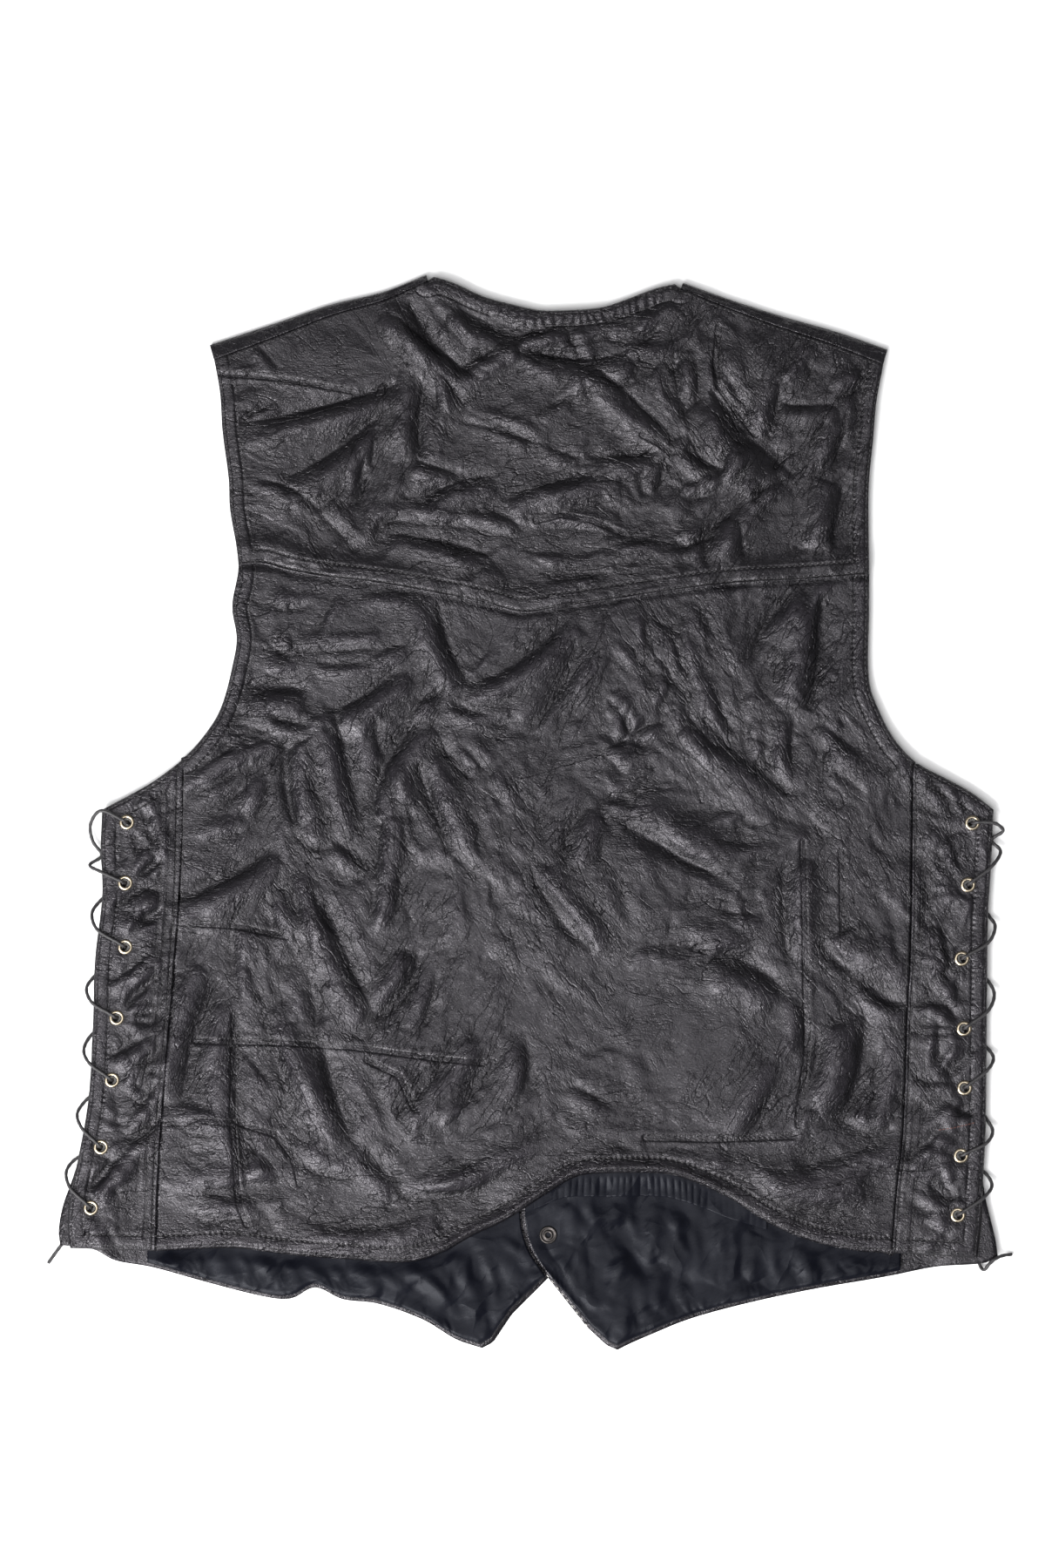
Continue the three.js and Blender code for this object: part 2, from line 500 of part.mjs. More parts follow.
function gridFaces(rows, columns, upper, form) {
  const faces = [];
  for (let i = 0; i < rows - 1; i += 1) {
    for (let j = 0; j < columns - 1; j += 1) {
      const a = i * columns + j;
      const b = a + 1;
      const c = a + columns + 1;
      const d = a + columns;
      const pa = upper[a];
      const pb = upper[b];
      const pc = upper[c];
      const pd = upper[d];
      let first = true;
      if (form) {
        const acZ = form((pa.x + pc.x) / 2, (pa.y + pc.y) / 2);
        const bdZ = form((pb.x + pd.x) / 2, (pb.y + pd.y) / 2);
        first = Math.abs(acZ - (pa.z + pc.z) / 2) <= Math.abs(bdZ - (pb.z + pd.z) / 2);
      }
      if (first) faces.push([a, d, c], [a, c, b]);
      else faces.push([a, d, b], [b, d, c]);
    }
  }
  return faces;
}

function gridRim(rows, columns) {
  const rim = [];
  for (let j = 0; j < columns; j += 1) rim.push(j);
  for (let i = 1; i < rows; i += 1) rim.push(i * columns + columns - 1);
  for (let j = columns - 2; j >= 0; j -= 1) rim.push((rows - 1) * columns + j);
  for (let i = rows - 2; i >= 1; i -= 1) rim.push(i * columns);
  return rim;
}

// A wall over a grid of plan points, with its upper level and its thickness.
function wallOver(name, grid, level, thick, material, form) {
  const rows = grid.length;
  const columns = grid[0].length;
  const upper = [];
  const lower = [];
  grid.forEach((row, i) => row.forEach((p, j) => {
    const z = level(p.x, p.y, i, j);
    upper.push({ x: p.x, y: p.y, z });
    lower.push({ x: p.x, y: p.y, z: z - thick });
  }));
  const faces = gridFaces(rows, columns, upper, form);
  const mesh = closedMesh(name, upper, lower, faces, gridRim(rows, columns), material);
  mesh.userData.wall = { upper, faces };
  return mesh;
}

// Level of a wall's upper face at a plan point, or nothing beside it.
function levelOn(wall, x, y) {
  for (const [a, b, c] of wall.faces) {
    const p = wall.upper[a];
    const q = wall.upper[b];
    const r = wall.upper[c];
    const whole = (q.x - p.x) * (r.y - p.y) - (r.x - p.x) * (q.y - p.y);
    if (Math.abs(whole) < 1e-9) continue;
    const v = ((x - p.x) * (r.y - p.y) - (r.x - p.x) * (y - p.y)) / whole;
    const w = ((q.x - p.x) * (y - p.y) - (x - p.x) * (q.y - p.y)) / whole;
    if (v >= -1e-6 && w >= -1e-6 && v + w <= 1 + 1e-6) return p.z + v * (q.z - p.z) + w * (r.z - p.z);
  }
  return null;
}

// Plan points inside the grid slide onto the nearest fold, so that its trough is sharp.
function onFolds(grid, firstRow, lastRow, reach) {
  for (let i = firstRow; i <= lastRow; i += 1) {
    for (let j = 1; j < grid[i].length - 1; j += 1) {
      const p = grid[i][j];
      let best = null;
      for (const { fold, spine } of foldLines) {
        if (Math.abs(p.x - fold.x2) > 90 || Math.abs(p.y - fold.y2) > 90) continue;
        const near = nearest(spine, p.x, p.y);
        if (near.t > 0.03 && near.t < 0.97 && near.d < reach && (!best || near.d < best.d)) best = near;
      }
      if (best) grid[i][j] = { x: best.x, y: best.y };
    }
  }
}

function toManifold(geometry) {
  const g = geometry.clone();
  g.deleteAttribute('normal');
  if (g.getAttribute('uv')) g.deleteAttribute('uv');
  const position = g.getAttribute('position');
  const keys = new Map();
  const remap = [];
  const vertices = [];
  for (let i = 0; i < position.count; i += 1) {
    const x = position.getX(i);
    const y = position.getY(i);
    const z = position.getZ(i);
    const key = `${Math.round(x * 1e4)},${Math.round(y * 1e4)},${Math.round(z * 1e4)}`;
    if (!keys.has(key)) {
      keys.set(key, vertices.length / 3);
      vertices.push(x, y, z);
    }
    remap.push(keys.get(key));
  }
  const triangles = [];
  const index = g.getIndex() ? g.getIndex().array : remap.map((_, i) => i);
  for (let i = 0; i < index.length; i += 3) {
    const a = remap[index[i]];
    const b = remap[index[i + 1]];
    const c = remap[index[i + 2]];
    if (a !== b && b !== c && a !== c) triangles.push(a, b, c);
  }
  return new wasm.Manifold(new wasm.Mesh({
    numProp: 3,
    vertProperties: new Float32Array(vertices),
    triVerts: new Uint32Array(triangles),
  }));
}

function fromManifold(name, body, material) {
  const out = body.getMesh();
  const mesh = solid(name, Array.from(out.vertProperties), Array.from(out.triVerts), material);
  return mesh;
}

function punched(mesh, centres, level) {
  let body = toManifold(mesh.geometry);
  for (const c of centres) {
    const cutter = new THREE.CylinderGeometry(HOLE_IN_LEATHER / 2, HOLE_IN_LEATHER / 2, 12, 12);
    cutter.rotateX(Math.PI / 2);
    cutter.translate(c.x, c.y, level);
    body = body.subtract(toManifold(cutter));
  }
  return fromManifold(mesh.name, body, mesh.material);
}

function turned(name, profile, sides, x, y, material) {
  const line = profile.map((p) => new THREE.Vector2(p.r, p.z));
  line.push(line[0].clone());
  const geometry = new THREE.LatheGeometry(line, sides);
  geometry.rotateX(Math.PI / 2);
  geometry.translate(x, y, 0);
  return fromManifold(name, toManifold(geometry), material);
}

// ---- yoke and body of the back
const COLUMNS = 35;
const across = even(COLUMNS);
const half = SEAM_GAP / 2;

// A line that lies a share of the turned width below the shoulder, from the armhole to the neck.
function belowShoulder(shoulder, toSide, share, extra) {
  const line = alongX(shoulder, shoulder[0].x, shoulder[shoulder.length - 1].x, 24);
  if (toSide > 0) line.reverse();
  return line.map((p, i) => {
    const deep = SHOULDER_TURN + (SHOULDER_TURN_AT_NECK - SHOULDER_TURN) * i / 24;
    const drop = deep * share + extra;
    return { x: p.x - toSide * drop * 0.29, y: p.y - drop * 0.957 };
  });
}
const lineLeft = belowShoulder(SHOULDER_LEFT, -1, 1, SOFT_GAP);
const lineRight = belowShoulder(SHOULDER_RIGHT, 1, 1, SOFT_GAP).reverse();
const neckLine = alongX(NECK, -62, 93, 24);
neckLine.unshift(lineLeft[24]);
neckLine.push(lineRight[0]);

const leftTopY = lineLeft[0].y - 0.6;
const rightTopY = lineRight[lineRight.length - 1].y - 0.6;
const yokeLeft = alongY(ARMHOLE_LEFT, leftTopY, 159, 16);
const yokeRight = alongY(ARMHOLE_RIGHT, rightTopY, 153, 16);
lineLeft[0] = yokeLeft[0];
lineRight[lineRight.length - 1] = yokeRight[0];

const yokeEdgeX0 = between(ARMHOLE_LEFT, 'y', 'x', 159);
const yokeEdgeX1 = between(ARMHOLE_RIGHT, 'y', 'x', 153);
const yokeEdge = alongX(YOKE_EDGE, yokeEdgeX0, yokeEdgeX1, 40);
yokeEdge[0] = yokeLeft[yokeLeft.length - 1];
yokeEdge[40] = yokeRight[yokeRight.length - 1];

const yokePatch = patch(
  chain([lineLeft, 12 / COLUMNS], [neckLine, 25 / COLUMNS], [lineRight, 1]),
  chain([yokeEdge, 1]),
  chain([yokeLeft, 1]),
  chain([yokeRight, 1]),
);
const YOKE_ROWS = 12;
const yokeSteps = even(YOKE_ROWS - 1, 0, 0.862);
yokeSteps.push(1 - YOKE_LAP / 150, 1);
const yokeGrid = yokeSteps.map((v) => across.map((u) => yokePatch(u, v)));
onFolds(yokeGrid, 1, YOKE_ROWS - 1, 5.2);
const lapRow = YOKE_ROWS;
const backYoke = wallOver('back_yoke', yokeGrid, (x, y, i) => {
  return backSurface(x, y) + (i >= lapRow ? YOKE_LIFT : 0);
}, LEATHER, YOKE_LEATHER, backSurface);

const BODY_ROWS = 27;
const seamTopLeft = 36;
const seamTopRight = 32;
const armBodyLeft = alongY(ARMHOLE_LEFT, 159, seamTopLeft, 12);
const armBodyRight = alongY(ARMHOLE_RIGHT, 153, seamTopRight, 12);
const seamLeft = shifted(alongY(SEAM_LEFT, seamTopLeft, -281, 20), half, 0);
const seamRight = shifted(alongY(SEAM_RIGHT, seamTopRight, -284, 20), -half, 0);
seamLeft[0] = armBodyLeft[armBodyLeft.length - 1];
seamRight[0] = armBodyRight[armBodyRight.length - 1];
seamLeft[0] = { x: Math.max(seamLeft[0].x, -224 + half), y: seamLeft[0].y };
seamRight[0] = { x: Math.min(seamRight[0].x, 245.5 - half), y: seamRight[0].y };
armBodyLeft[armBodyLeft.length - 1] = seamLeft[0];
armBodyRight[armBodyRight.length - 1] = seamRight[0];
const hemX0 = seamLeft[seamLeft.length - 1].x;
const hemX1 = seamRight[seamRight.length - 1].x;
const bodyHem = alongX(HEM, hemX0, hemX1, 60);
bodyHem[0] = seamLeft[seamLeft.length - 1];
bodyHem[60] = seamRight[seamRight.length - 1];
const bodyPatch = patch(
  chain([yokeEdge, 1]),
  chain([bodyHem, 1]),
  chain([armBodyLeft, 9 / BODY_ROWS], [seamLeft, 1]),
  chain([armBodyRight, 9 / BODY_ROWS], [seamRight, 1]),
);
const bodyGrid = [yokeGrid[lapRow], yokeGrid[lapRow + 1]];
for (let i = 1; i <= BODY_ROWS; i += 1) {
  bodyGrid.push(across.map((u) => bodyPatch(u, i / BODY_ROWS)));
}
onFolds(bodyGrid, 2, bodyGrid.length - 2, 5.6);
const backBody = wallOver('back_body', bodyGrid, backSurface, LEATHER, BLACK_LEATHER, backSurface);

// ---- laced side strips of the back
function sideStrip(name, outer, seam, hemX, armhole, seamTop, eyelets, toSeam) {
  const lineOuter = alongY(outer, 2.5, outer[outer.length - 1].y, 24);
  const lineSeam = shifted(alongY(seam, seamTop, seam[seam.length - 1].y, 20), -toSeam * half, 0);
  const lineTop = alongY(armhole, 2.5, seamTop, 12);
  lineTop[12] = lineSeam[0];
  const lineHem = alongX(HEM, lineOuter[24].x, hemX, 8);
  lineHem[0] = lineOuter[24];
  lineHem[8] = lineSeam[20];
  const form = patch(chain([lineTop, 1]), chain([lineHem, 1]), chain([lineOuter, 1]), chain([lineSeam, 1]));
  const grid = even(22).map((v) => {
    const width = Math.hypot(form(1, v).x - form(0, v).x, form(1, v).y - form(0, v).y);
    const flat = STRIP_FLAT / width;
    return [0, flat * 0.5, flat, (flat + 1) / 2, 1].map((u) => form(u, v));
  });
  const wall = wallOver(name, grid, (x, y, i, j) => {
    return j <= 2 ? SIDE_LEVEL : backSurface(x, y);
  }, LEATHER, BLACK_LEATHER, null);
  return punched(wall, eyelets, SIDE_LEVEL);
}
const backSideLeft = sideStrip('back_side_left', SIDE_LEFT, SEAM_LEFT, -240.5, ARMHOLE_LEFT,
  seamTopLeft, EYELETS_LEFT, 1);
const backSideRight = sideStrip('back_side_right', SIDE_RIGHT, SEAM_RIGHT, 232, ARMHOLE_RIGHT,
  seamTopRight, EYELETS_RIGHT, -1);

// ---- front panels, flat on the surface, turned over at the shoulder
const TURN = [
  { inOuter: 1, inInner: 1, outer: 'top', inner: 'top' },
  { inOuter: 0.45, inInner: 0.5, outer: 'top', inner: 'top' },
  { inOuter: 0.1, inInner: 0.3, outer: 5.3, inner: 3.9 },
  { inOuter: 0, inInner: 0.22, outer: 3.0, inner: 3.0 },
  { inOuter: 0.1, inInner: 0.3, outer: 0.6, inner: 2.1 },
  { inOuter: 0.5, inInner: 0.5, outer: 0, inner: 1.6 },
];

function frontPanel(name, shoulder, armhole, side, edge, hem, toSide, eyelets, rows) {
  const neckFirst = toSide > 0;
  const startRow = belowShoulder(shoulder, toSide, 0, 12);
  const topY = startRow[0].y;
  const arm = alongY(armhole, topY, 2.5, 20).map((p, i) => {
    const inset = i === 20 ? 0 : FRONT_INSET * smooth(-2, 4, i);
    return { x: p.x - toSide * inset, y: p.y - (i > 14 ? 1.5 : 0) };
  });
  arm[0] = startRow[0];
  arm[20] = { x: side[0].x, y: side[0].y - 1 };
  const sideLine = alongY(side, side[0].y - 1, side[side.length - 1].y, 24);
  sideLine[0] = arm[20];
  const lastX = edge[edge.length - 1].x;
  const hemLine = alongX(hem, Math.min(side[side.length - 1].x, lastX), Math.max(side[side.length - 1].x, lastX), 40);
  if (neckFirst) hemLine.reverse();
  hemLine[0] = sideLine[24];
  hemLine[40] = edge[edge.length - 1];
  const edgeTop = [startRow[24], edge[1], edge[2]];
  const edgeDown = edge.slice(2, 4);
  const edgeLow = edge.slice(3);
  const armShare = 8 / rows;
  const lowShare = (rows - 3) / rows;
  const form = patch(
    chain([startRow, 1]),
    chain([hemLine, 1]),
    chain([arm, armShare], [sideLine, 1]),
    chain([edgeTop, armShare * 0.75], [edgeDown, lowShare], [edgeLow, 1]),
  );
  const widthAt = (v) => Math.hypot(form(1, v).x - form(0, v).x, form(1, v).y - form(0, v).y);
  const columnsAt = (v) => {
    const w = widthAt(v);
    const a = STRIP_FLAT / w;
    const b = STRIP_RAMP / w;
    const c = 1 - 58 / w;
    const d = 1 - 43 / w;
    return [0, a, b, b + (c - b) / 3, b + (c - b) * 2 / 3, c, d, 1];
  };
  const upper = [];
  const lower = [];
  const placeAt = (line, u) => {
    const k = Math.min(23, Math.floor(u * 24));
    const f = u * 24 - k;
    return { x: line[k].x + (line[k + 1].x - line[k].x) * f, y: line[k].y + (line[k + 1].y - line[k].y) * f };
  };
  for (const t of TURN) {
    const outerLine = belowShoulder(shoulder, toSide, t.inOuter, 0);
    const innerLine = belowShoulder(shoulder, toSide, t.inInner, 0);
    columnsAt(0).forEach((u) => {
      const o = placeAt(outerLine, u);
      const n = placeAt(innerLine, u);
      const top = Math.max(4.6, backSurface(o.x, o.y - 1));
      const outerZ = t.outer === 'top' ? top : t.outer;
      const innerZ = t.inner === 'top' ? top - LEATHER : t.inner;
      upper.push({ x: n.x, y: n.y, z: innerZ });
      lower.push({ x: o.x, y: o.y, z: outerZ });
    });
  }
  const sideLift = (u, v, y, w) => {
    const d = u * w;
    const across1 = 1 - smooth(STRIP_FLAT, STRIP_RAMP, d);
    return FRONT_SIDE_LIFT * across1 * (1 - smooth(4, 44, y)) * smooth(-302, -286, y);
  };
  const edgeLift = (u, w) => {
    if (toSide < 0) return 0;
    return (1 - u) * w < 50 ? OVERLAP_LIFT : 0;
  };
  const plan = [];
  for (let i = 0; i <= rows; i += 1) {
    const v = i / rows;
    const w = widthAt(v);
    const row = [];
    columnsAt(v).forEach((u) => {
      const p = form(u, v);
      const lift = sideLift(u, v, p.y, w) + edgeLift(u, w) * (1 - smooth(202, 246, p.y));
      row.push({ x: p.x, y: p.y, z: FRONT_LEATHER + lift });
      upper.push({ x: p.x, y: p.y, z: FRONT_LEATHER + lift });
      lower.push({ x: p.x, y: p.y, z: lift });
    });
    plan.push(row);
  }
  const columns = 8;
  const total = TURN.length + rows + 1;
  const faces = gridFaces(total, columns, upper, null);
  const wall = closedMesh(name, upper, lower, faces, gridRim(total, columns), BLACK_LEATHER);
  const flatFaces = faces.filter((f) => Math.min(...f) >= TURN.length * columns);
  const made = punched(wall, eyelets, FRONT_SIDE_LIFT + 1);
  made.userData.wall = { upper, faces: flatFaces };
  return made;
}
const frontLeft = frontPanel('front_left', SHOULDER_LEFT, ARMHOLE_LEFT, FRONT_SIDE_LEFT,
  FRONT_EDGE_LEFT, FRONT_HEM_LEFT, -1, EYELETS_LEFT, 20);
const frontRight = frontPanel('front_right', SHOULDER_RIGHT, ARMHOLE_RIGHT, FRONT_SIDE_RIGHT,
  FRONT_EDGE_RIGHT, FRONT_HEM_RIGHT, 1, EYELETS_RIGHT, 20);

// ---- linings of the fronts, where they show below the back hem
function liningOver(name, top, bottom, left, right, columns, rows, base) {
  const form = patch(top, bottom, left, right);
  const grid = even(rows).map((v) => columns.map((u) => form(u, v)));
  return wallOver(name, grid, (x, y) => {
    const under = base(x, y);
    const shown = smooth(-2, 10, between(HEM, 'x', 'y', x) - y);
    return under + SOFT_GAP + LINING + puckerHeight(x, y) * shown;
  }, LINING, SATIN, null);
}

const liningTopLeft = shifted(alongX(HEM, -246, -7, 40), 0, HIDDEN_LINING);
const liningHemLeft = shifted(alongX(FRONT_HEM_LEFT, -246, -34, 40), 0, LINING_INSET);
const liningSlantLeft = [
  { x: -32, y: -340.6 }, { x: -25.5, y: -337 }, { x: -14, y: -319.5 }, { x: 7.5, y: -299 },
];
const liningEdgeLeft = shifted(alongY([
  { y: -230, x: -5.5 }, { y: -262, x: -5.5 }, { y: -281, x: 0 }, { y: -299, x: 12 },
], liningTopLeft[40].y, -297, 10), -0.8, 0);
liningEdgeLeft[0] = liningTopLeft[40];
liningSlantLeft[3] = liningEdgeLeft[10];
liningHemLeft[40] = liningSlantLeft[0];
const liningLeft = liningOver('front_lining_left',
  chain([liningTopLeft, 1]),
  chain([liningHemLeft, 0.8], [liningSlantLeft, 1]),
  chain([[liningTopLeft[0], liningHemLeft[0]], 1]),
  chain([liningEdgeLeft, 1]),
  even(20), 5, () => FRONT_LEATHER);

const liningTopRight = shifted(alongX(HEM, -3, 238, 40), 0, HIDDEN_LINING);
const liningHemRight = shifted(alongX(FRONT_HEM_RIGHT, 60, 238, 40), 0, LINING_INSET);
const liningSlantRight = [
  { x: 12.6, y: -296 }, { x: 38.5, y: -328.5 }, { x: 50.5, y: -339 }, { x: 56, y: -341.5 },
];
const liningEdgeRight = shifted(alongY([
  { y: -230, x: -5.5 }, { y: -262, x: -5.5 }, { y: -281, x: 0 }, { y: -299, x: 12 },
], liningTopRight[0].y, -296, 10), LINING_INSET, 0);
liningEdgeRight[0] = liningTopRight[0];
liningSlantRight[0] = liningEdgeRight[10];
liningHemRight.unshift(liningSlantRight[3]);
const liningRight = liningOver('front_lining_right',
  chain([liningTopRight, 1]),
  chain([liningSlantRight, 0.25], [liningHemRight, 1]),
  chain([liningEdgeRight, 1]),
  chain([[liningTopRight[40], liningHemRight[liningHemRight.length - 1]], 1]),
  even(20), 6, (x, y) => levelOn(frontRight.userData.wall, x, y) ?? FRONT_LEATHER + OVERLAP_LIFT);

// ---- gathered facing that shows below the arch of the back hem
const facingTop = shifted(alongX(HEM, 2, 152, 24), 0, 9);
const facingMiddle = shifted(alongX(HEM, 2, 152, 24), 0, -0.6);
const facingLow = alongX(FACING_EDGE, 2, 152, 24);
const facingGrid = [facingTop, facingMiddle, facingMiddle.map((p, i) => ({
  x: (p.x + facingLow[i].x) / 2, y: (p.y + facingLow[i].y) / 2,
})), facingLow];
const facing = wallOver('back_hem_facing', facingGrid, (x, y, i, j) => {
  let hidden = i === 0 ? levelOn(backBody.userData.wall, x, y) : null;
  for (let up = 0.1; up < 3 && hidden === null; up += 0.4) {
    hidden = levelOn(backBody.userData.wall, x, between(HEM, 'x', 'y', x) + up);
  }
  const high = (hidden ?? BACK_LEVEL) - LEATHER - SOFT_GAP;
  if (i < 2) return high;
  const under = levelOn(liningRight.userData.wall, x, y) ?? FRONT_LEATHER + LINING + OVERLAP_LIFT;
  const rest = under + SOFT_GAP + LINING + (j % 2 ? 0.9 : 0.1);
  return i === 2 ? Math.max(rest, (high + rest) / 2) : rest;
}, LINING, SATIN, null);

// ---- eyelets through both layers
function backEyelet(name, c) {
  const r = EYELET_OUTER / 2;
  const hole = EYELET_HOLE / 2;
  const skin = SIDE_LEVEL;
  return turned(name, [
    { r: hole, z: skin + 0.45 },
    { r: hole, z: skin - LEATHER - 0.42 },
    { r: r - 1.4, z: skin - LEATHER - 0.06 },
    { r: hole + EYELET_BARREL, z: skin - LEATHER - 0.06 },
    { r: hole + EYELET_BARREL, z: skin + 0.06 },
    { r, z: skin + 0.06 },
    { r: r - 1.1, z: skin + 0.8 },
  ], 12, c.x, c.y, EYELET_METAL);
}
function frontEyelet(name, c) {
  const r = EYELET_OUTER / 2;
  const hole = EYELET_HOLE / 2;
  const skin = FRONT_SIDE_LIFT;
  const top = skin + FRONT_LEATHER;
  return turned(name, [
    { r: hole, z: top + 0.3 },
    { r: hole, z: skin - 0.45 },
    { r, z: skin - 0.06 },
    { r: hole + EYELET_BARREL, z: skin - 0.06 },
    { r: hole + EYELET_BARREL, z: top + 0.3 },
  ], 8, c.x, c.y, EYELET_METAL);
}

// ---- snap on the right front, above its lining
const SNAP = { x: 11.5, y: -270.5 };
function snapRing() {
  const seat = (levelOn(liningRight.userData.wall, SNAP.x, SNAP.y) ?? 5) + 0.1;
  const r = SNAP_OUTER / 2;
  return turned('snap_ring', [
    { r: SNAP_HOLE / 2, z: seat + 0.15 },
    { r: r - 0.2, z: seat + 0.15 },
    { r, z: seat + 0.7 },
    { r: r - 0.8, z: seat + 1.5 },
    { r: r - 1.7, z: seat + 1.0 },
    { r: r - 2.5, z: seat + 1.0 },
    { r: r - 3.0, z: seat + 1.6 },
    { r: SNAP_HOLE / 2, z: seat + 1.3 },
  ], 16, SNAP.x, SNAP.y, SNAP_METAL);
}

// ---- laces: up through the first eyelet, then round the side edge into each one below
const FLOOR = LACE / 2 + 0.03;
const OVER = SIDE_LEVEL + LACE / 2 + 0.9;

function laceRoute(eyelets, loops, side, frontSide, toSide, start, end) {
  const route = [...start];
  eyelets.slice(1).forEach((eye, i) => {
    const loop = loops[i];
    const from = eyelets[i];
    const outX = between(frontSide, 'y', 'x', loop.outY) + toSide * 3.2;
    const inX = between(side, 'y', 'x', loop.inY) + toSide * 1.0;
    if (i > 0) route.push({ x: (from.x + outX) / 2, y: (from.y + loop.outY) / 2, z: FLOOR });
    route.push({ x: outX, y: loop.outY, z: i > 0 ? FLOOR + 0.9 : FLOOR + 2 });
    route.push({ x: loop.farX, y: loop.farY, z: 5.2 });
    route.push({ x: inX, y: loop.inY, z: OVER - 0.6 });
    const dx = inX - eye.x;
    const dy = loop.inY - eye.y;
    const far = Math.hypot(dx, dy);
    const at = (r, z) => route.push({ x: eye.x + dx / far * r, y: eye.y + dy / far * r, z });
    at(5.6, OVER + 0.05);
    at(2.7, OVER + 0.05);
    at(0.9, OVER - 1.1);
    at(0, 6.2);
    at(0, 3.2);
    const next = loops[i + 1];
    const bend = next ? { x: toSide * 1.3, y: -1.7 } : { x: toSide * 1.0, y: -1.9 };
    route.push({ x: eye.x + bend.x, y: eye.y + bend.y, z: FLOOR + 0.05 });
  });
  route.push(...end);
  return route;
}

const LACE_START_LEFT = [
  { x: -248, y: -12, z: FLOOR }, { x: -253, y: -9, z: FLOOR }, { x: -258, y: -6.2, z: FLOOR + 0.1 },
  { x: -259, y: -5.5, z: 3.2 }, { x: -259, y: -5.5, z: 6.2 }, { x: -259.8, y: -5.1, z: OVER - 1.1 },
  { x: -261.4, y: -4.2, z: OVER + 0.05 }, { x: -264, y: -2.8, z: OVER + 0.05 },
  { x: -276, y: 1.8, z: OVER - 0.6 }, { x: -282.5, y: -7, z: 5.6 }, { x: -281, y: -18, z: 3.6 },
];
const LACE_END_LEFT = [
  { x: -291, y: -264, z: FLOOR }, { x: -299, y: -274, z: FLOOR },
  { x: -305, y: -282, z: FLOOR }, { x: -310, y: -289, z: FLOOR },
];
const LACE_START_RIGHT = [
  { x: 272, y: -14, z: FLOOR }, { x: 278, y: -10, z: FLOOR }, { x: 282.8, y: -6.8, z: FLOOR + 0.1 },
  { x: 283.8, y: -6, z: 3.2 }, { x: 283.8, y: -6, z: 6.2 }, { x: 284.7, y: -5.8, z: OVER - 1.1 },
  { x: 286.5, y: -5.6, z: OVER + 0.05 }, { x: 289.4, y: -5.4, z: OVER + 0.05 },
  { x: 298.8, y: -6.4, z: OVER - 0.6 }, { x: 303.6, y: -11, z: 6.4 },
];
const LACE_END_RIGHT = [
  { x: 281, y: -270, z: FLOOR }, { x: 286.5, y: -283, z: FLOOR }, { x: 289.5, y: -291.4, z: FLOOR + 0.5 },
  { x: 291.6, y: -293, z: 4.4 }, { x: 294.6, y: -289.2, z: 6.2 }, { x: 298.5, y: -285.8, z: 6.2 },
  { x: 303.8, y: -283.9, z: 3.6 }, { x: 309.5, y: -283.3, z: FLOOR },
];

// A line with one section at each of its points, never lower than the surface allows.
class LaceLine extends THREE.CatmullRomCurve3 {
  getPointAt(u, target) {
    const p = this.getPoint(u, target);
    p.z = Math.max(p.z, FLOOR);
    return p;
  }

  getTangentAt(u, target) {
    return this.getTangent(u, target);
  }
}

function laceBody(name, route) {
  const points = route.map((p) => new THREE.Vector3(p.x, p.y, p.z));
  const path = new LaceLine(points, false, 'centripetal');
  const ring = new THREE.Shape();
  for (let i = 0; i < LACE_SIDES; i += 1) {
    const a = 2 * Math.PI * (i + 0.5) / LACE_SIDES;
    const x = LACE / 2 * Math.cos(a);
    const y = LACE / 2 * Math.sin(a);
    if (i === 0) ring.moveTo(x, y);
    else ring.lineTo(x, y);
  }
  ring.closePath();
  const geometry = new THREE.ExtrudeGeometry(ring, {
    steps: points.length - 1, bevelEnabled: false, extrudePath: path, curveSegments: 1,
  });
  return fromManifold(name, toManifold(geometry), CORD);
}

// ---- the whole vest, set with its underside on the surface and its middle over the origin
const vest = new THREE.Group();
vest.name = 'laced_vest';
vest.add(backYoke, backBody, backSideLeft, backSideRight, frontLeft, frontRight);
vest.add(liningLeft, liningRight, facing, snapRing());
EYELETS_LEFT.forEach((c, i) => {
  vest.add(backEyelet(`eyelet_back_left_${i + 1}`, c), frontEyelet(`eyelet_front_left_${i + 1}`, c));
});
EYELETS_RIGHT.forEach((c, i) => {
  vest.add(backEyelet(`eyelet_back_right_${i + 1}`, c), frontEyelet(`eyelet_front_right_${i + 1}`, c));
});
vest.add(laceBody('lace_left', laceRoute(EYELETS_LEFT, LOOPS_LEFT, SIDE_LEFT, FRONT_SIDE_LEFT, -1,
  LACE_START_LEFT, LACE_END_LEFT)));
vest.add(laceBody('lace_right', laceRoute(EYELETS_RIGHT, LOOPS_RIGHT, SIDE_RIGHT, FRONT_SIDE_RIGHT, 1,
  LACE_START_RIGHT, LACE_END_RIGHT)));

const MIDDLE = { x: -1.4, y: 0.75 };
for (const mesh of vest.children) {
  mesh.userData = {};
  mesh.geometry.translate(-MIDDLE.x, -MIDDLE.y, 0);
}

export default vest;
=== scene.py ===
# %% [markdown]
# # A laced leather vest, laid flat with its back up
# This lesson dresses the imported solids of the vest. The vest lies face down on a pale table, so the back
# shows, and below its hem the linings of the two fronts. Each cut piece gets a thin skin with the folds
# of worn leather. Everything here is in the frame of the solids: metres, +X right, +Y to the neck, +Z up
# out of the back.

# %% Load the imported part
import math

import bmesh
import bpy
import numpy as np
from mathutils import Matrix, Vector, kdtree
from mathutils.bvhtree import BVHTree


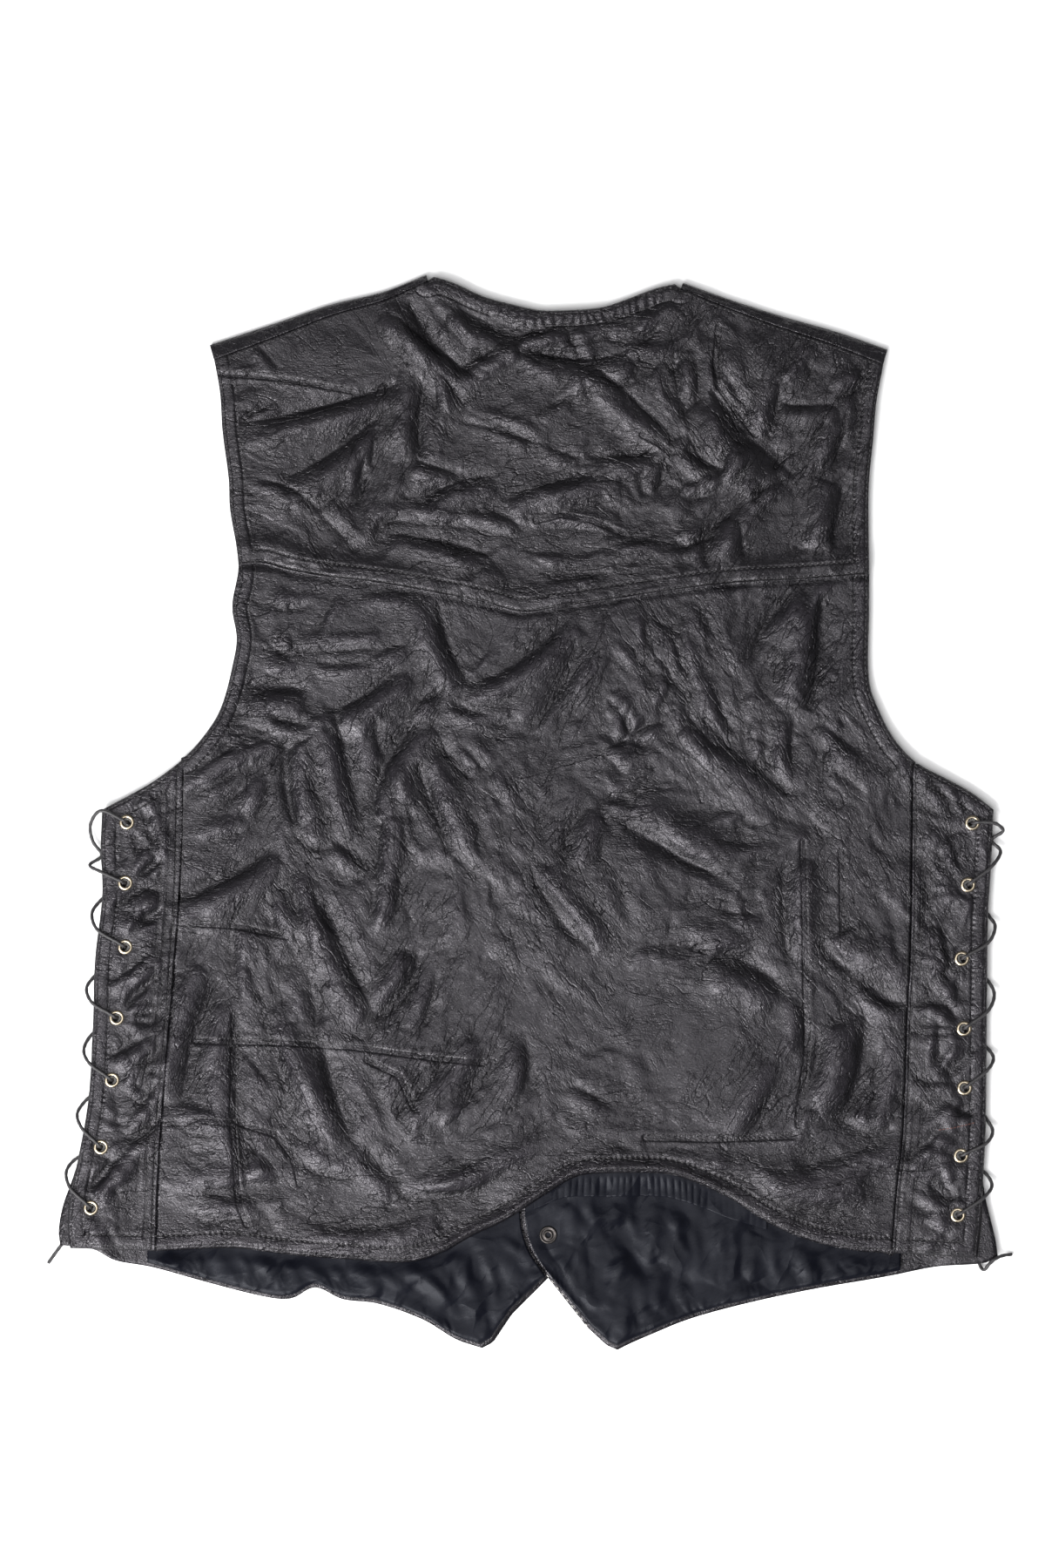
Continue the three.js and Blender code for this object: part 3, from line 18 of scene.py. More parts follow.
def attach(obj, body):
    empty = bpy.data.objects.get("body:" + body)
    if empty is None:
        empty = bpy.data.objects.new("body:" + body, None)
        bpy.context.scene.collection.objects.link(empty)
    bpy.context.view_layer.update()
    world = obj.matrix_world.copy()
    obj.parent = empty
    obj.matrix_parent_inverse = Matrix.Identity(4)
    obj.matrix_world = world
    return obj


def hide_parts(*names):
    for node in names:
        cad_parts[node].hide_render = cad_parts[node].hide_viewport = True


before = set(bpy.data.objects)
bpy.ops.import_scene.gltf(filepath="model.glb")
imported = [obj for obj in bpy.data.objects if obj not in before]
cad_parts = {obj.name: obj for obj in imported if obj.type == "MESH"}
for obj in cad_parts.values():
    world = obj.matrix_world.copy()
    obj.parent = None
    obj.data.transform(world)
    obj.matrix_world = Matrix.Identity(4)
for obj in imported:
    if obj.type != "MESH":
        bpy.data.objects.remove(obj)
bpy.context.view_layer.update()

# %% [markdown]
# ## Camera, floor and light
# The photograph looks straight down through a long lens. It is 1200 by 1800 pixels, and a pixel is 0.56
# mm on the vest, because the eyelets are the common 10 mm ones. The light is broad and soft and comes
# mostly from below the hem and a little from the left, so slopes that face the neck stay dark. Black
# leather shows its form by what it reflects, so large light panels matter more here than their strength.

# %% Camera straight above
MM = 0.001
PIXEL = 0.00056
PICTURE = (1200, 1800)
VIEW_CENTRE = (-0.0036, 0.01825)
CAMERA_HEIGHT = 4.0
SENSOR = 24.0

camera_data = bpy.data.cameras.new("camera")
camera_data.sensor_fit = "VERTICAL"
camera_data.sensor_height = SENSOR
camera_data.lens = SENSOR * CAMERA_HEIGHT / (PICTURE[1] * PIXEL)
camera = bpy.data.objects.new("camera", camera_data)
camera.location = (*VIEW_CENTRE, CAMERA_HEIGHT)
bpy.context.collection.objects.link(camera)
bpy.context.scene.camera = camera
print("lens", round(camera_data.lens, 1), "mm")

# %% Floor and soft panels
def floor_material():
    material = bpy.data.materials.new("pale_floor")
    material.use_nodes = True
    shader = material.node_tree.nodes["Principled BSDF"]
    shader.inputs["Base Color"].default_value = (0.97, 0.97, 0.97, 1)
    shader.inputs["Roughness"].default_value = 0.9
    return material


def floor():
    mesh = bpy.data.meshes.new("floor")
    far = 6.0
    mesh.from_pydata([(-far, -far, 0), (far, -far, 0), (far, far, 0), (-far, far, 0)], [], [(0, 1, 2, 3)])
    mesh.materials.append(floor_material())
    table = bpy.data.objects.new("floor", mesh)
    bpy.context.collection.objects.link(table)


def panel(name, place, size, power):
    light = bpy.data.lights.new(name, "AREA")
    light.shape = "RECTANGLE"
    light.size, light.size_y = size
    light.energy = power
    lamp = bpy.data.objects.new(name, light)
    lamp.location = place
    lamp.rotation_euler = (Vector((0, 0, 0)) - Vector(place)).to_track_quat("-Z", "Y").to_euler()
    bpy.context.collection.objects.link(lamp)


floor()
panel("overhead_panel", (-0.5, -0.6, 2.4), (2.4, 2.4), 55)
panel("key_panel", (-1.2, -1.6, 1.6), (1.8, 1.2), 136)
world = bpy.data.worlds.new("studio")
world.use_nodes = True
world.node_tree.nodes["Background"].inputs["Color"].default_value = (1.0, 1.0, 1.02, 1)
world.node_tree.nodes["Background"].inputs["Strength"].default_value = 0.26
bpy.context.scene.world = world
bpy.context.scene.view_settings.view_transform = "Standard"
print("studio ready")

# %% [markdown]
# ## The pattern pieces
# A pattern maker would draw these outlines on card. Each table is a list of places along one edge, in
# millimetres on the laid vest, and a smooth line runs through them. They are the same edges as in the
# solids. An edge that runs across is read by x, and an edge that runs down is read by y.

# %% Outlines
NECK = [(-67, 346), (-50, 341), (-30, 332), (-10, 326.5), (6, 323.2), (20, 323), (45, 324.8), (60, 329.5),
        (80, 337), (98, 341)]
SHOULDER_LEFT = [(-206, 301), (-165, 314.5), (-128, 327), (-95, 335), (-67, 346)]
SHOULDER_RIGHT = [(98, 341), (130, 329.5), (163, 319), (198, 309), (229.5, 298)]
ARMHOLE_LEFT = [(301, -206), (286, -202.5), (268, -199.5), (245, -198), (215, -194), (195, -193),
                (168, -188.3),
                (150, -187.5), (133, -191.5), (112, -188.6), (92, -192), (76, -196), (63, -201), (50, -209.5),
                (37, -221), (27, -233), (17.5, -247), (2.5, -275)]
ARMHOLE_RIGHT = [(298, 229.5), (285, 227.5), (265, 223.5), (240, 221), (210, 218), (165, 217.6), (130, 217.6),
                 (98, 217), (80, 218.6), (66, 224), (52, 231), (40, 240), (31, 250.5), (22, 268), (13, 284),
                 (2.5, 297.4)]
SIDE_LEFT = [(2.5, -275), (-20, -275.8), (-54, -275), (-93, -279.5), (-138, -281), (-185, -284),
             (-222, -290.5),
             (-245, -295.3), (-262, -297), (-279, -295.5)]
SIDE_RIGHT = [(2.5, 297.4), (-31, 296), (-65, 294), (-104, 293.4), (-143, 293), (-205, 292.3), (-233, 290.8),
              (-262, 289.4), (-285, 287)]
SEAM_LEFT = [(36, -224), (-40, -225.5), (-105, -229.5), (-150, -233), (-190, -236.5), (-230, -239),
             (-281, -240.5)]
SEAM_RIGHT = [(32, 245.5), (-40, 245), (-90, 244), (-130, 242), (-180, 240.5), (-215, 238.5), (-240, 235.5),
              (-284, 232)]
HEM = [(-295.5, -279), (-240, -280.5), (-190, -279), (-156, -283), (-120, -286), (-79, -288), (-58, -282.5),
       (-37, -271), (-16, -261), (8, -245.5), (28, -233.5), (42, -231), (85, -231), (104, -236), (128, -247),
       (150, -261), (176, -273), (208, -280.5), (250, -283), (287, -285)]
YOKE_EDGE = [(-189, 159), (-172, 160), (-155, 155.5), (-130, 151), (-100, 147.5), (-65, 141.5), (-30, 134.5),
             (-5, 128.5), (22, 132), (55, 137), (93, 142.5), (130, 147), (175, 149.5), (219, 153)]
FRONT_SIDE_LEFT = [(2.5, -271.5), (-54, -273), (-138, -279.2), (-205, -285.6), (-232, -293.2), (-252, -300.3),
                   (-268, -303), (-277, -302)]
FRONT_SIDE_RIGHT = [(2.5, 293.6), (-65, 291.8), (-143, 291), (-225, 289.8), (-246, 292.2), (-262, 296),
                    (-275, 299), (-284, 300.2)]
FRONT_HEM_LEFT = [(-302, -277), (-280, -280), (-267, -287), (-243, -291.5), (-205, -302), (-168, -311),
                  (-153, -311.5), (-138.5, -304.5), (-121, -312), (-98, -315), (-68.5, -325.5), (-47.5, -338),
                  (-31, -343.5)]
FRONT_HEM_RIGHT = [(56, -344.5), (64, -340.5), (79, -334), (100, -325.5), (138, -315), (180, -306),
                   (229, -297.5), (262, -291), (292, -288.5), (300.2, -284)]
FRONT_EDGE_LEFT = [(-71, 334), (26, 168), (32, 120), (32, -272), (11, -299), (-12, -322), (-24, -340),
                   (-31, -343.5)]
FRONT_EDGE_RIGHT = [(101, 330), (1, 168), (-5, 120), (-5.5, -262), (0, -281), (12, -299), (36.6, -330),
                    (49, -341.5), (56, -344.5)]
FACING_EDGE = [(2, -254), (22, -246.5), (50, -246), (85, -246), (105, -251), (128, -260), (152, -267)]
EYELETS_LEFT = [(-259, -5.5), (-260, -44.5), (-260, -85.5), (-265.5, -131), (-268.5, -171), (-275.6, -214),
                (-282, -253)]
EYELETS_RIGHT = [(283.8, -6), (281, -45.7), (277, -93), (278.4, -138), (278.8, -176), (276.5, -219.5),
                 (274.5, -257.6)]
SNAP = (11.5, -270.5)
MIDDLE = (-1.4, 0.75)
UNDERARM = 2.5
NECK_LEFT_END, NECK_RIGHT_END = -67, 98
YOKE_LEFT_END, YOKE_RIGHT_END = 159, 153
SIDE_SEAM_TOP_LEFT, SIDE_SEAM_TOP_RIGHT = 36, 32
print("eyelets:", len(EYELETS_LEFT) + len(EYELETS_RIGHT))

# %% Thicknesses and levels of the layers
LEATHER, FRONT_LEATHER, LINING = 1.5, 1.6, 1.1
SEAM_GAP, SOFT_GAP = 0.3, 0.45
BACK_LEVEL, SIDE_LEVEL, FRONT_SIDE_LIFT, OVERLAP_LIFT, YOKE_LIFT = 6.2, 7.3, 3.2, 1.95, 1.75
STRIP_FLAT, STRIP_RAMP = 26, 46
SHOULDER_TURN, SHOULDER_TURN_AT_NECK = 10, 4
FRONT_INSET, LINING_INSET, HIDDEN_LINING = 4, 2.5, 16
YOKE_LAP = 9
EYELET_HOLE = 3.3
LACE = 2.4
PITCH = 1.5
print("mesh pitch", PITCH, "mm")

# %% [markdown]
# ## Helpers for smooth edges and patches
# A cut piece is a patch of cloth between four edges. `curve` draws the smooth line through a table.
# `chain` walks along several edges in turn. `patch` fills the space between four edges with a grid, as a
# blended sheet does. Numpy does the sums for the whole grid at once, so a piece of a hundred thousand
# points takes under a second.

# %% Smooth lines
def curve(rows, at):
    """The smooth line through a table of (key, value), read at one or many keys."""
    table = np.array(sorted(rows), float)
    keys, values = table[:, 0], table[:, 1]
    at = np.asarray(at, float)
    i = np.clip(np.searchsorted(keys, at) - 1, 0, len(keys) - 2)
    before, after = np.maximum(i - 1, 0), np.minimum(i + 2, len(keys) - 1)
    span = keys[i + 1] - keys[i]
    t = np.clip((at - keys[i]) / span, 0, 1)
    slope_a = (values[i + 1] - values[before]) / (keys[i + 1] - keys[before]) * span
    slope_b = (values[after] - values[i]) / (keys[after] - keys[i]) * span
    return ((2 * t**3 - 3 * t**2 + 1) * values[i] + (t**3 - 2 * t**2 + t) * slope_a
            + (3 * t**2 - 2 * t**3) * values[i + 1] + (t**3 - t**2) * slope_b)


def line_x(rows, x0, x1, count=160):
    x = np.linspace(x0, x1, count + 1)
    return np.column_stack((x, curve(rows, x)))


def line_y(rows, y0, y1, count=160):
    y = np.linspace(y0, y1, count + 1)
    return np.column_stack((curve(rows, y), y))


def bell(off, wide):
    return np.exp(-(off / wide) ** 2)


def placed(x, y):
    """A place of the solids' drawing, in millimetres, moved to the frame's middle, in metres."""
    return (x - MIDDLE[0]) * MM, (y - MIDDLE[1]) * MM


def smooth(a, b, v):
    t = np.clip((np.asarray(v, float) - a) / (b - a), 0, 1)
    return t * t * (3 - 2 * t)


def lengths(line):
    return np.concatenate(([0], np.cumsum(np.hypot(*np.diff(line[:, :2], axis=0).T))))


print("neck edge is", round(lengths(line_x(NECK, NECK_LEFT_END, NECK_RIGHT_END))[-1]), "mm long")

# %% Patches
def chain(*stretches):
    """A boundary made of (line, until): each line ends at its own share of the whole."""
    def at(t):
        t = np.asarray(t, float)
        place = np.zeros((len(t), 2))
        start = 0.0
        for line, until in stretches:
            line = np.asarray(line, float)
            run = lengths(line)
            here = (t >= start) & (t <= until + 1e-12)
            goal = (t[here] - start) / (until - start) * run[-1]
            for axis in (0, 1):
                place[here, axis] = np.interp(goal, run, line[:, axis])
            start = until
        return place
    return at


def patch(top, bottom, left, right, u, v):
    """Grid of plan points between four boundaries that meet at the corners."""
    t, b, l, r = top(u), bottom(u), left(v), right(v)
    corners = [left([0.0])[0], right([0.0])[0], left([1.0])[0], right([1.0])[0]]
    uu, vv = np.meshgrid(u, v)
    grid = []
    for axis in (0, 1):
        c00, c10, c01, c11 = (c[axis] for c in corners)
        grid.append((1 - vv) * t[None, :, axis] + vv * b[None, :, axis]
                    + (1 - uu) * l[:, None, axis] + uu * r[:, None, axis]
                    - (1 - uu) * (1 - vv) * c00 - uu * (1 - vv) * c10
                    - (1 - uu) * vv * c01 - uu * vv * c11)
    return grid


def steps(length, coarse=1, pitch=PITCH):
    """Even shares for a side of that length, in whole groups of the coarse underside."""
    groups = max(1, round(length / pitch / coarse))
    return np.linspace(0, 1, groups * coarse + 1)


def below_shoulder(shoulder, to_side, share, extra=0.0, count=48):
    """A line that lies a share of the turned width below the shoulder, from the armhole to the neck."""
    line = line_x(shoulder, shoulder[0][0], shoulder[-1][0], count)
    if to_side > 0:
        line = line[::-1]
    deep = np.linspace(SHOULDER_TURN, SHOULDER_TURN_AT_NECK, count + 1)
    drop = deep * share + extra
    return np.column_stack((line[:, 0] - to_side * drop * 0.29, line[:, 1] - drop * 0.957))


print("a 300 mm side has", len(steps(300, 4)), "points")

# %% [markdown]
# ## Folds
# Worn leather that lies on a table keeps long soft folds, each a trough with a bank on one side of it.
# The tables hold them as three places along each trough, its depth, its width, the height of the bank and
# its side. The first table is the one that the solids have. The second holds shorter creases that only
# the skin has.

# %% Largest folds
# x and y of three places, depth, width, bank, side
FOLDS = [
    (-187, 250, -141, 260, -85, 276, 3.0, 6, 2.6, -1), (-159, 215, -125, 234, -93, 262, 2.4, 7, 2.2, -1),
    (-66, 286, -71, 255, -70, 228, 2.8, 6, 2.4, -1), (-78, 331, -62, 303, -32, 279, 3.2, 7, 3.0, -1),
    (-48, 326, -24, 313, -4, 304, 2.6, 6, 2.0, -1), (-19, 203, 9, 215, 57, 222, 3.4, 7, 3.0, -1),
    (-73, 199, -51, 212, -23, 218, 2.4, 6, 2.0, -1), (-92, 180, -48, 173, -8, 156, 2.4, 6, 2.2, -1),
    (-2, 298, 32, 292, 62, 297, 2.6, 7, 2.2, -1), (39, 289, 63, 269, 97, 237, 2.2, 7, 2.0, -1),
    (116, 272, 142, 244, 170, 216, 3.8, 10, 3.4, -1), (160, 278, 157, 252, 150, 236, 2.0, 6, 1.8, -1),
    (202, 209, 197, 191, 195, 170, 2.8, 7, 2.4, -1), (138, 206, 121, 187, 99, 170, 2.2, 7, 2.0, 1),
    (187, 142, 186, 102, 177, 66, 3.4, 8, 3.0, -1), (168, 142, 150, 120, 144, 98, 2.0, 7, 1.8, 1),
    (-60, 139, -52, 109, -40, 85, 3.2, 7, 3.0, -1), (-44, 82, -12, 96, 26, 126, 2.2, 6, 3.2, -1),
    (-186, 81, -164, 82, -144, 80, 3.2, 7, 2.8, -1), (-133, 65, -109, 75, -85, 95, 2.8, 7, 2.6, -1),
    (-127, 67, -117, 35, -107, -17, 3.0, 7, 2.6, -1), (-157, 46, -156, 14, -148, -18, 2.6, 6, 2.4, 1),
    (-68, 62, -92, 34, -102, -6, 3.0, 7, 2.6, 1), (-72, 34, -62, 4, -50, -24, 2.8, 6, 2.4, 1),
    (-234, -57, -200, -43, -166, -21, 3.6, 7, 3.2, -1), (-133, -56, -119, -88, -99, -132, 2.8, 7, 2.4, -1),
    (-72, -88, -77, -110, -99, -134, 2.8, 6, 2.4, -1), (-134, -144, -124, -182, -112, -216, 3.6, 8, 3.0, -1),
    (-172, -124, -164, -156, -150, -190, 2.4, 7, 2.2, 1),
    (-200, -106, -214, -138, -224, -188, 2.8, 8, 2.4, -1),
    (-189, -124, -188, -176, -181, -246, 2.4, 7, 2.0, -1),
    (-160, -251, -110, -263, -66, -251, 3.8, 8, 3.4, -1),
    (-62, -252, -22, -240, 14, -224, 3.4, 8, 3.0, 1), (-226, -246, -186, -242, -148, -239, 2.2, 6, 2.0, 1),
    (109, 64, 133, 40, 169, 10, 3.4, 8, 3.0, -1), (40, 6, 26, -10, 22, -34, 1.8, 7, 2.4, 1),
    (2, -38, 14, -60, 36, -86, 2.2, 6, 2.0, 1), (60, -8, 84, -20, 134, -48, 2.6, 8, 2.4, 1),
    (119, -88, 147, -100, 165, -116, 3.0, 9, 2.4, -1), (164, -30, 163, -64, 166, -98, 2.0, 7, 2.2, 1),
    (186, -81, 200, -97, 240, -123, 2.4, 8, 2.2, 1), (214, -134, 212, -166, 198, -198, 3.0, 8, 2.6, -1),
    (234, -202, 200, -216, 150, -228, 3.2, 8, 2.8, 1), (136, -240, 166, -256, 216, -258, 3.6, 8, 3.0, 1),
    (164, -164, 150, -190, 136, -214, 2.0, 7, 1.8, -1),
]
# x, y, reach across, reach along, height
SWELLS = [
    (-135, 292, 60, 26, 1.8), (20, 262, 60, 30, 2.4), (158, 286, 42, 28, 2.0), (-98, 112, 42, 30, 2.6),
    (62, 96, 55, 42, 3.0), (210, 40, 26, 40, 1.4), (-20, -40, 60, 70, 2.6), (78, -60, 60, 46, 2.6),
    (128, -168, 44, 48, 2.8), (-76, -186, 50, 44, 2.4), (-205, -206, 38, 40, 2.0), (20, -180, 60, 40, 2.2),
    (62, -226, 52, 22, 3.4),
]
print("largest folds:", len(FOLDS), "swells:", len(SWELLS))

# %% Shorter creases, on the skin alone
CREASES = [
    (-10, 306, 6, 311, 24, 314, 2.4, 4.5, 2.0, -1), (24, 314, 44, 318, 66, 320, 2.0, 4.5, 1.8, -1),
    (66, 320, 78, 325, 88, 332, 1.5, 4, 1.3, -1), (-30, 322, -14, 314, 6, 311, 1.4, 3.5, 1.2, 1),
    (-188, 252, -176, 259, -163, 265, 1.5, 4, 1.2, -1), (-173, 300, -168, 293, -160, 285, 0.9, 3, 0.7, -1),
    (-62, 282, -61, 266, -63, 250, 1.3, 3.5, 1.0, 1), (-175, 215, -152, 208, -134, 193, 1.4, 4, 1.2, -1),
    (-105, 217, -108, 208, -112, 198, 1.2, 4, 1.0, -1), (-135, 192, -124, 182, -112, 168, 1.5, 5, 1.3, 1),
    (-98, 248, -101, 234, -101, 222, 1.1, 3.5, 0.9, -1), (-106, 232, -108, 220, -112, 208, 1.1, 3.5, 0.9, -1),
    (-76, 228, -58, 222, -40, 217, 1.5, 4, 1.4, -1), (-96, 188, -60, 186, -20, 180, 1.2, 3.5, 1.2, 1),
    (-94, 323, -76, 311, -58, 295, 1.8, 4, 1.6, -1), (-60, 322, -48, 308, -40, 298, 1.2, 3.5, 1.0, 1),
    (-66, 290, -52, 276, -42, 262, 1.6, 5, 1.4, -1), (-48, 284, -30, 296, -12, 305, 2.6, 5.5, 2.2, -1),
    (-10, 302, 6, 296, 20, 297, 1.3, 4, 1.2, -1), (-8, 298, 6, 290, 18, 287, 1.0, 3, 0.8, -1),
    (24, 306, 30, 298, 32, 288, 1.4, 4, 1.2, 1), (30, 288, 48, 280, 66, 276, 1.1, 3.5, 1.0, -1),
    (28, 284, 22, 276, 14, 268, 0.9, 3, 0.8, 1), (32, 284, 36, 274, 38, 264, 0.9, 3, 0.8, -1),
    (4, 256, 14, 263, 26, 268, 0.9, 3.5, 0.8, -1), (-46, 252, -20, 246, 10, 236, 1.3, 4, 1.2, 1),
    (10, 236, 26, 230, 34, 229, 1.2, 4, 1.0, -1), (34, 230, 56, 230, 84, 233, 2.0, 5, 1.8, -1),
    (-40, 258, -12, 246, 2, 238, 1.0, 3.5, 0.9, -1), (-30, 196, -14, 190, -4, 180, 1.2, 4, 1.0, -1),
    (0, 182, 24, 183, 46, 181, 1.4, 3.5, 1.6, 1), (46, 181, 62, 178, 84, 180, 1.2, 3.5, 1.2, -1),
    (-10, 170, 14, 168, 44, 170, 1.2, 3.5, 1.2, -1), (44, 170, 70, 175, 104, 172, 1.2, 4, 1.0, -1),
    (84, 168, 100, 172, 118, 178, 1.2, 3.5, 1.0, 1), (10, 151, 30, 153, 54, 155, 0.9, 3, 0.9, -1),
    (85, 224, 84, 214, 81, 204, 1.6, 4, 1.6, -1), (96, 236, 110, 228, 128, 218, 1.6, 5, 1.4, -1),
    (96, 204, 108, 203, 122, 208, 1.2, 3.5, 1.2, 1), (128, 212, 138, 222, 142, 230, 1.4, 4, 1.2, 1),
    (101, 244, 108, 232, 116, 220, 1.5, 4.5, 1.6, -1), (126, 238, 124, 226, 120, 214, 1.4, 4, 1.4, 1),
    (148, 214, 146, 205, 140, 200, 1.5, 4.5, 1.4, -1), (138, 205, 150, 209, 164, 215, 1.4, 4, 1.4, -1),
    (92, 296, 94, 280, 96, 264, 1.5, 5, 1.4, 1), (104, 292, 108, 278, 106, 262, 1.4, 4.5, 1.2, -1),
    (118, 298, 119, 284, 122, 272, 1.6, 5, 1.6, 1), (66, 300, 76, 306, 84, 314, 1.3, 4, 1.2, 1),
    (62, 292, 76, 291, 92, 290, 1.2, 4, 1.2, 1), (172, 302, 168, 292, 160, 282, 1.2, 3.5, 1.2, 1),
    (160, 264, 176, 262, 196, 264, 1.3, 4, 1.2, -1), (196, 266, 206, 271, 214, 274, 1.4, 4.5, 1.4, 1),
    (212, 268, 211, 252, 207, 234, 1.5, 4.5, 1.4, -1), (204, 259, 200, 239, 195, 219, 1.5, 6, 1.4, -1),
    (162, 232, 160, 226, 156, 220, 1.0, 3, 1.0, 1), (208, 202, 200, 186, 192, 174, 1.6, 4.5, 1.6, -1),
    (134, 190, 136, 176, 138, 160, 1.3, 5, 1.2, -1), (116, 186, 112, 172, 114, 158, 1.2, 4.5, 1.1, -1),
    (-165, 132, -152, 132, -136, 134, 1.4, 3.5, 1.2, 1), (-126, 140, -132, 128, -138, 116, 0.9, 3, 1.0, 1),
    (-110, 142, -90, 142, -76, 141, 1.2, 3.5, 1.2, -1), (-170, 112, -160, 104, -152, 103, 1.4, 4, 1.2, 1),
    (-150, 104, -124, 105, -96, 107, 1.3, 3.5, 1.2, 1), (-138, 98, -122, 96, -104, 98, 1.2, 3, 1.2, -1),
    (-104, 100, -92, 106, -82, 110, 1.2, 4, 1.0, -1), (-170, 90, -160, 88, -148, 90, 1.3, 3.5, 1.3, 1),
    (-169, 64, -159, 60, -141, 57, 1.5, 3.5, 1.4, -1), (-200, 40, -184, 48, -166, 56, 1.5, 5, 1.4, -1),
    (-196, 36, -180, 44, -162, 50, 1.2, 4, 1.0, -1), (-216, 26, -202, 36, -190, 42, 1.2, 4, 1.2, -1),
    (-96, 62, -90, 68, -76, 74, 1.2, 4, 1.0, 1), (-76, 70, -60, 78, -54, 86, 1.2, 4, 1.0, -1),
    (-82, 60, -76, 66, -68, 76, 1.2, 3.5, 1.2, -1), (-98, 60, -98, 48, -94, 36, 1.6, 4.5, 1.4, -1),
    (-50, 72, -36, 66, -20, 62, 1.2, 4, 1.6, -1), (-36, 58, -24, 57, -12, 58, 1.1, 3.5, 1.6, 1),
    (-60, 48, -46, 30, -36, 22, 1.6, 5, 1.6, 1), (-48, 46, -38, 38, -30, 28, 1.2, 4, 1.3, 1),
    (-8, 50, 8, 66, 28, 96, 1.6, 7, 1.4, 1), (0, 54, 20, 78, 36, 104, 0.9, 4, 0.8, -1),
    (76, 132, 75, 116, 80, 102, 1.0, 3, 0.9, -1), (80, 102, 90, 86, 82, 64, 1.0, 3, 0.9, -1),
    (92, 122, 96, 100, 104, 86, 1.2, 4, 1.2, 1), (50, 74, 58, 64, 64, 52, 1.4, 3.5, 1.3, 1),
    (64, 50, 62, 60, 66, 72, 1.2, 3, 1.1, 1), (64, 50, 54, 44, 44, 42, 1.2, 3.5, 1.1, 1),
    (64, 50, 74, 56, 86, 60, 1.1, 3, 1.0, -1), (40, 44, 52, 34, 60, 24, 1.1, 4, 1.0, 1),
    (120, 112, 112, 124, 110, 134, 1.1, 4, 1.0, 1), (120, 80, 124, 64, 132, 52, 1.3, 4, 1.3, -1),
    (98, 70, 110, 52, 122, 40, 1.6, 5, 1.5, -1), (140, 62, 138, 48, 142, 34, 1.3, 4, 1.2, 1),
    (150, 40, 158, 24, 166, 12, 1.5, 5, 1.4, 1), (170, 64, 168, 40, 170, 20, 1.4, 4.5, 1.3, -1),
    (186, 60, 200, 48, 214, 40, 1.2, 4, 1.1, -1), (188, 30, 204, 22, 216, 10, 1.2, 5, 1.1, 1),
    (-220, 10, -202, 20, -184, 31, 1.4, 4.5, 1.4, 1), (-206, 6, -190, 12, -176, 24, 1.2, 4, 1.2, 1),
    (-176, -4, -170, 10, -168, 24, 1.5, 5, 1.5, 1), (-212, -20, -194, -14, -176, -8, 1.0, 3.5, 1.0, 1),
    (-150, -12, -140, -22, -128, -20, 1.5, 4, 1.4, 1), (-126, -18, -112, -26, -104, -38, 1.6, 4.5, 1.5, -1),
    (-96, 26, -88, 14, -86, 0, 1.5, 4.5, 1.6, 1), (-96, -2, -98, -20, -100, -44, 1.8, 5, 1.7, 1),
    (-100, -44, -101, -60, -104, -72, 1.3, 4, 1.2, 1), (-84, -30, -84, -52, -88, -72, 1.4, 4.5, 1.3, -1),
    (-140, -40, -136, -60, -126, -76, 1.5, 5, 1.4, -1), (-156, -34, -150, -60, -140, -84, 1.5, 6, 1.5, 1),
    (-170, -52, -166, -72, -168, -94, 1.2, 5, 1.2, 1), (-192, -74, -191, -96, -186, -118, 1.4, 5, 1.3, 1),
    (-182, -90, -178, -108, -172, -120, 1.2, 4, 1.2, -1),
    (-144, -95, -140, -115, -136, -137, 1.4, 6, 1.2, -1),
    (-60, -100, -64, -124, -72, -142, 1.3, 4.5, 1.2, -1), (-46, -140, -60, -166, -84, -190, 1.6, 5.5, 1.5, 1),
    (-28, -150, -38, -176, -48, -204, 1.2, 6, 1.0, -1), (-4, -139, -2, -167, -14, -199, 1.4, 6, 1.3, -1),
    (0, -150, 1, -168, 0, -186, 1.0, 5, 1.0, -1), (25, -173, 37, -179, 53, -187, 1.2, 4, 1.1, -1),
    (-30, -222, -44, -226, -62, -234, 1.5, 5, 1.4, 1), (14, -222, 40, -214, 70, -214, 1.4, 6, 1.2, -1),
    (-30, 18, -22, 10, -14, -2, 1.1, 5, 1.0, 1), (43, 4, 53, 10, 65, 10, 1.1, 4, 1.0, -1),
    (0, -36, 8, -50, 20, -62, 1.2, 4, 1.2, 1), (20, -60, 30, -74, 40, -92, 1.3, 4, 1.3, 1),
    (80, -14, 98, -30, 120, -37, 1.4, 5, 1.4, 1), (118, -18, 138, -18, 158, -17, 1.2, 4, 1.1, -1),
    (120, -62, 134, -64, 152, -64, 1.2, 4.5, 1.1, -1), (90, -84, 110, -88, 134, -100, 1.5, 6, 1.4, 1),
    (190, -84, 196, -92, 204, -100, 1.2, 4, 1.1, 1), (216, -109, 228, -119, 242, -123, 1.8, 4.5, 1.7, -1),
    (232, -76, 235, -86, 236, -96, 1.2, 4, 1.1, -1), (172, -116, 176, -134, 174, -156, 1.6, 5, 1.6, -1),
    (184, -138, 184, -160, 176, -180, 1.6, 6, 1.6, 1), (222, -150, 222, -176, 216, -196, 1.5, 5, 1.4, 1),
    (196, -196, 210, -204, 226, -210, 1.4, 5, 1.4, 1), (120, -216, 146, -220, 176, -216, 1.6, 5, 1.5, -1),
    (-228, -200, -214, -206, -200, -206, 1.2, 4, 1.1, 1),
    (-180, -212, -168, -224, -160, -238, 1.4, 5, 1.3, -1),
    (-216, -262, -196, -262, -176, -258, 1.4, 4.5, 1.4, 1),
    (-150, -222, -132, -232, -112, -234, 1.5, 5, 1.4, 1),
